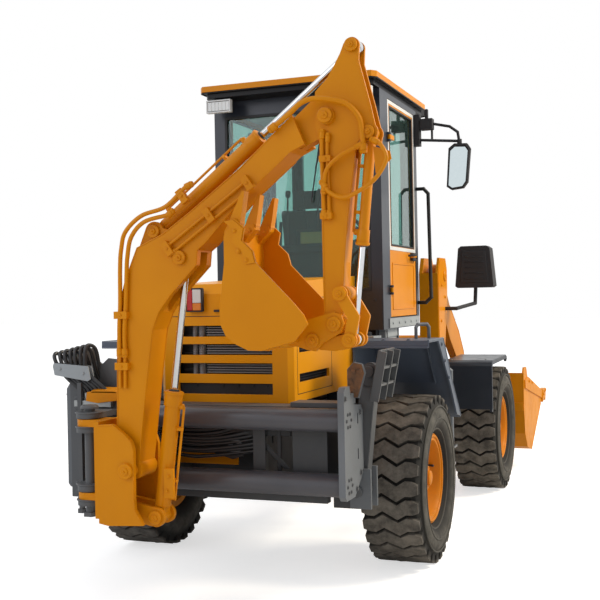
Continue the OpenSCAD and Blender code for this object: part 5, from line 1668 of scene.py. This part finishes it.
@dataclass
class LoaderDress:
    """Pins, hoses, wear parts and welds of the loader and its towers."""

    bucket_half: float = 1.170

    def build(self) -> None:
        """Dress the towers, the arms, the cylinders and the bucket."""
        self.towers()
        self.bucket()

    def pin(self, name: str, spot: Flat, x_in: float, x_out: float, radius: float, body: str) -> None:
        """Fit caps to a cross pin on both sides of the machine.

        Args:
            name: the pin's name.
            spot: its y and z.
            x_in: where its inner end is.
            x_out: where its outer end is.
            radius: its radius.
            body: the body that holds it.
        """
        caps = Stock("pin_caps_" + name)
        for x, d in ((x_in, -1), (x_out, 1)):
            caps.turned([(-0.004, radius + 0.014), (0.006, radius + 0.014), (0.010, radius + 0.010)],
                        (x, spot[0], spot[1]), (d, 0, 0), 28)
            caps.bolt((x + d * 0.008, spot[0], spot[1]), (d, 0, 0), 0.020)
        caps.mirrored().place(Surfaces.body_enamel, body, 0)

    def towers(self) -> None:
        """Fit tower pins, braces and hoses."""
        self.pin("arm_top", (0.590, 1.880), 0.545, 0.705, 0.034, "front_chassis")
        self.pin("lift_foot", (0.430, 0.741), 0.395, 0.555, 0.024, "front_chassis")
        self.pin("bucket_hinge", (1.690, 0.420), 0.568, 0.692, 0.024, "loader_bucket")
        brace = Stock("tower_plates")
        brace.prism([(0.362, 1.130), (0.362, 1.880), (0.430, 2.008), (0.625, 2.008), (0.680, 1.930),
                     (0.680, 1.720), (0.540, 1.180)], Axis.X, 0.700, 0.7045)
        for y, z in ((0.420, 1.200), (0.440, 1.500), (0.460, 1.800), (0.590, 1.700)):
            brace.bolt((0.7045, y, z), (1, 0, 0), 0.022)
        brace.mirrored().place(Surfaces.body_enamel, "front_chassis", 0.002)
        hoses = Stock("tower_hoses")
        for i in range(4):
            x = -0.120 + 0.070 * i
            hoses.hose([(x, 0.375, 1.060), (x, 0.340, 1.140), (x + 0.010, 0.330, 1.220), (x, 0.352, 1.286)],
                       0.011)
        hoses.place(Surfaces.hose_rubber, "front_chassis", 0)
        seams = Stock("loader_arm_welds")
        for x in (0.600, 0.660):
            for line in ([(0.970, 1.620), (1.330, 1.385), (1.530, 1.190), (1.680, 0.900), (1.745, 0.520)],
                         [(0.700, 1.560), (0.950, 1.330), (1.310, 1.080), (1.490, 0.880), (1.590, 0.700),
                          (1.620, 0.480)]):
                seams.tube([(x, y, z) for y, z in line], 0.0035, 6)
        seams.mirrored().place(Surfaces.body_enamel, "loader_arms", 0)
        pipes = Stock("loader_arm_pipes")
        for shift in (0.0, 0.024):
            pipes.hose([(0.594, 0.900 + shift, 1.560), (0.594, 1.100 + shift, 1.410),
                        (0.594, 1.300 + shift, 1.270), (0.560, 1.340 + shift, 1.230)], 0.008)
        pipes.place(Surfaces.body_enamel, "loader_arms", 0)

    def bucket(self) -> None:
        """Fit the cutting edge, its bolts, corner wear pieces and ribs to the loader bucket."""
        edge = Stock("bucket_cutting_edge")
        edge.prism([(3.020, 0.588), (3.124, 0.652), (3.160, 0.676), (3.150, 0.690), (3.010, 0.612)], Axis.X,
                   -1.168, 1.168)
        edge.place(Surfaces.worn_steel, "loader_bucket", 0.001)
        bolts = Stock("cutting_edge_bolts")
        for i in range(16):
            x = -1.090 + 0.1453 * i
            bolts.bolt((x, 3.060, 0.612), (0, 0.45, -0.89), 0.026)
        bolts.place(Surfaces.worn_steel, "loader_bucket", 0)
        corner = Stock("corner_bolts")
        for y, z in ((3.080, 0.640), (3.160, 0.665), (3.230, 0.672), (2.100, 0.860), (2.300, 0.830)):
            corner.bolt((self.bucket_half + (0.022 if y > 3.0 else 0.012), y, z), (1, 0, 0), 0.024)
        corner.mirrored().place(Surfaces.bucket_enamel, "loader_bucket", 0)
        ribs = Stock("bucket_back_ribs")
        for x in (-0.900, -0.300, 0.300, 0.900):
            ribs.prism([(1.812, 0.620), (1.798, 0.600), (1.842, 0.370), (1.984, 0.222), (2.010, 0.212),
                        (1.990, 0.240), (1.852, 0.385)], Axis.X, x - 0.006, x + 0.006)
        ribs.place(Surfaces.bucket_enamel, "loader_bucket", 0.001)
        seam = Stock("bucket_side_welds")
        line = [(1.815, 0.960), (1.800, 0.640), (1.850, 0.380), (1.990, 0.235), (2.270, 0.172),
                (3.000, 0.554)]
        seam.tube([(1.1705, y, z) for y, z in line], 0.004, 6)
        seam.mirrored().place(Surfaces.bucket_enamel, "loader_bucket", 0)


# ---------- whole machine ----------

NODE_FINISH: dict[str, Finish] = {
    "rear_frame": Surfaces.black_enamel,
    "slide_frame": Surfaces.slide_enamel_painted_shade,
    "slide_tubes": Surfaces.tube_enamel,
    "rear_axle": Surfaces.black_enamel,
    "engine_block": Surfaces.black_enamel,
    "engine_hood": Surfaces.hood_enamel,
    "radiator": Surfaces.radiator_core,
    "cab_shell": Surfaces.navy_enamel,
    "cab_roof": Surfaces.roof_enamel,
    "cab_glass": Surfaces.cab_glass,
    "cab_interior": Surfaces.black_plastic,
    "rear_fenders": Surfaces.fender_enamel,
    "side_tanks": Surfaces.tank_enamel,
    "steps": Surfaces.step_enamel,
    "rear_lamps": Surfaces.black_plastic,
    "mirrors": Surfaces.black_plastic,
    "seat_cushion": Surfaces.seat_cloth,
    "seat_back": Surfaces.seat_cloth,
    "head_rest": Surfaces.seat_cloth,
    "front_frame": Surfaces.body_enamel,
    "loader_towers": Surfaces.body_enamel,
    "front_axle": Surfaces.body_enamel,
    "front_fenders": Surfaces.navy_enamel,
    "headlamps": Surfaces.black_plastic,
    "door_right": Surfaces.body_enamel,
    "door_left": Surfaces.body_enamel,
    "door_glass_right": Surfaces.cab_glass,
    "door_glass_left": Surfaces.cab_glass,
    "loader_arms": Surfaces.body_enamel,
    "loader_bucket": Surfaces.bucket_enamel,
    "carriage": Surfaces.plate_enamel,
    "swing_post": Surfaces.body_enamel,
    "boom": Surfaces.body_enamel,
    "stick": Surfaces.body_enamel,
    "bucket_lever": Surfaces.body_enamel,
    "bucket_link": Surfaces.body_enamel,
    "digging_bucket": Surfaces.body_enamel,
    "leg_right": Surfaces.plate_enamel,
    "leg_left": Surfaces.plate_enamel,
    "pad_right": Surfaces.plate_enamel,
    "pad_left": Surfaces.plate_enamel,
}
for _wheel in ("rear_right", "rear_left", "front_right", "front_left"):
    NODE_FINISH["tyre_" + _wheel] = Surfaces.tyre_rubber
    NODE_FINISH["rim_" + _wheel] = Surfaces.rim_enamel
for _part in ("lift_barrels", "tilt_barrel", "boom_barrel", "stick_barrel", "bucket_barrel"):
    NODE_FINISH[_part] = Surfaces.body_enamel
for _part in ("lift_rods", "tilt_rod", "boom_rod", "stick_rod", "bucket_rod"):
    NODE_FINISH[_part] = Surfaces.chrome


@dataclass
class Shell:
    """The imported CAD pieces, with their finishes and broken edges."""

    edge_radius: float = 0.003
    smooth_angle: float = math.radians(32)

    def dress(self, nodes: dict[str, bpy.types.Object]) -> None:
        """Give every CAD piece its finish and round its sharp edges.

        Args:
            nodes: CAD piece by name.
        """
        for name, obj in nodes.items():
            obj.data.materials.clear()
            obj.data.materials.append(NODE_FINISH[name].build())
            weld = obj.modifiers.new("weld", "WELD")
            weld.merge_threshold = 0.00005
            bevel = obj.modifiers.new("edge", "BEVEL")
            bevel.width = self.edge_radius
            bevel.segments = 2
            bevel.limit_method = "ANGLE"
            bevel.angle_limit = self.smooth_angle
            bevel.harden_normals = True
        LOG.info("dressed %d CAD pieces", len(nodes))


@dataclass
class Studio:
    """White floor and backdrop, soft lights and the camera of the photograph."""

    lens_mm: float = 60.71
    place: Point = (2.61395, -7.92512, 1.71423)
    yaw: float = 0.3629618
    pitch: float = -0.00190757
    roll: float = -0.0198266
    floor_half: float = 60.0
    floor_glow: float = 0.62

    def build(self) -> None:
        """Make the camera, the lights, the world and the floor."""
        self.camera()
        self.world()
        self.lights()
        self.floor()
        bpy.context.scene.view_settings.view_transform = "Standard"
        LOG.info("studio ready")

    def camera(self) -> None:
        """Place the camera where the photograph was taken."""
        data = bpy.data.cameras.new("camera")
        data.sensor_width = 36.0
        data.lens = self.lens_mm
        data.clip_end = 300.0
        obj = bpy.data.objects.new("camera", data)
        bpy.context.scene.collection.objects.link(obj)
        ahead = Vector((-math.sin(self.yaw) * math.cos(self.pitch),
                        math.cos(self.yaw) * math.cos(self.pitch), math.sin(self.pitch)))
        side = Vector((math.cos(self.yaw), math.sin(self.yaw), 0.0))
        top = side.cross(ahead)
        turn = Matrix.Rotation(-self.roll, 3, ahead)
        side, top = turn @ side, turn @ top
        frame = Matrix((side, top, -ahead)).transposed()
        obj.matrix_world = Matrix.Translation(self.place) @ frame.to_4x4()
        bpy.context.scene.camera = obj

    def world(self) -> None:
        """Make a white sky to look at, in mirrors too, and a soft grey one that lights."""
        world = bpy.data.worlds.new("studio_sky")
        bpy.context.scene.world = world
        world.use_nodes = True
        tree = world.node_tree
        tree.nodes.clear()
        rays = add_node(tree, "LightPath")
        through = add_node(tree, "Math", {0: rays.outputs["Is Glossy Ray"],
                                          1: rays.outputs["Is Transmission Ray"]},
                           operation="MAXIMUM")
        seen = add_node(tree, "Math", {0: rays.outputs["Is Camera Ray"], 1: through.outputs[0]},
                        operation="MAXIMUM")
        sky = add_node(tree, "Background", {"Color": linear("#EDEFF3"), "Strength": 0.72})
        back = add_node(tree, "Background", {"Color": (1.0, 1.0, 1.0, 1.0), "Strength": 1.0})
        mix = add_node(tree, "MixShader", {0: seen.outputs[0], 1: sky.outputs[0], 2: back.outputs[0]})
        add_node(tree, "OutputWorld", {"Surface": mix.outputs[0]})

    def lights(self) -> None:
        """Hang a large key light to the right and front, and a weak fill at the rear left."""
        for name, place, aim, size, power, tone in (
            ("key", (9.0, 2.5, 9.0), (0.0, 0.0, 1.2), 4.0, 1250.0, "#FFF2DC"),
            ("fill", (-6.0, -9.0, 6.0), (0.0, -1.0, 1.2), 6.0, 220.0, "#F4F4FF"),
        ):
            data = bpy.data.lights.new(name, "AREA")
            data.size = size
            data.energy = power
            data.color = linear(tone)[:3]
            obj = bpy.data.objects.new(name, data)
            bpy.context.scene.collection.objects.link(obj)
            obj.location = place
            obj.rotation_mode = "QUATERNION"
            obj.rotation_quaternion = (Vector(aim) - Vector(place)).to_track_quat("-Z", "Y")

    def floor(self) -> None:
        """Lay a floor that looks white to the camera and keeps the machine's shadow."""
        mesh = bpy.data.meshes.new("floor")
        h = self.floor_half
        mesh.from_pydata([(-h, -h, 0), (h, -h, 0), (h, h, 0), (-h, h, 0)], [], [(0, 1, 2, 3)])
        obj = bpy.data.objects.new("floor", mesh)
        bpy.context.scene.collection.objects.link(obj)
        material = bpy.data.materials.new("white_floor")
        material.use_nodes = True
        tree = material.node_tree
        tree.nodes.clear()
        rays = add_node(tree, "LightPath")
        glow = add_node(tree, "Math", {0: rays.outputs["Is Camera Ray"], 1: self.floor_glow},
                        operation="MULTIPLY")
        shader = add_node(tree, "BsdfPrincipled", {
            "Base Color": linear("#E4E4E2"), "Roughness": 0.9, "Specular IOR Level": 0.1,
            "Emission Color": (1.0, 1.0, 1.0, 1.0), "Emission Strength": glow.outputs[0]})
        add_node(tree, "OutputMaterial", {"Surface": shader.outputs[0]})
        mesh.materials.append(material)


def main() -> None:
    """Load the frame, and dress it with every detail."""
    logging.basicConfig(level=logging.INFO, format="%(name)s: %(message)s")
    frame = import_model()
    Studio().build()
    Shell().dress(frame["nodes"])
    for name, side, y in (("rear_right", Side.RIGHT, REAR_AXLE_Y), ("rear_left", Side.LEFT, REAR_AXLE_Y),
                          ("front_right", Side.RIGHT, FRONT_AXLE_Y),
                          ("front_left", Side.LEFT, FRONT_AXLE_Y)):
        WheelDress().build(name, side, y)
    for dress in (HoodDress(), LampDress(), MirrorDress(), CabDress(), SeatDress(), ArmDress(), HoseFan(),
                  ChassisDress(), FenderDress(), LoaderDress()):
        dress.build()
        LOG.info("built %s", type(dress).__name__)


if __name__ == "__main__":
    main()
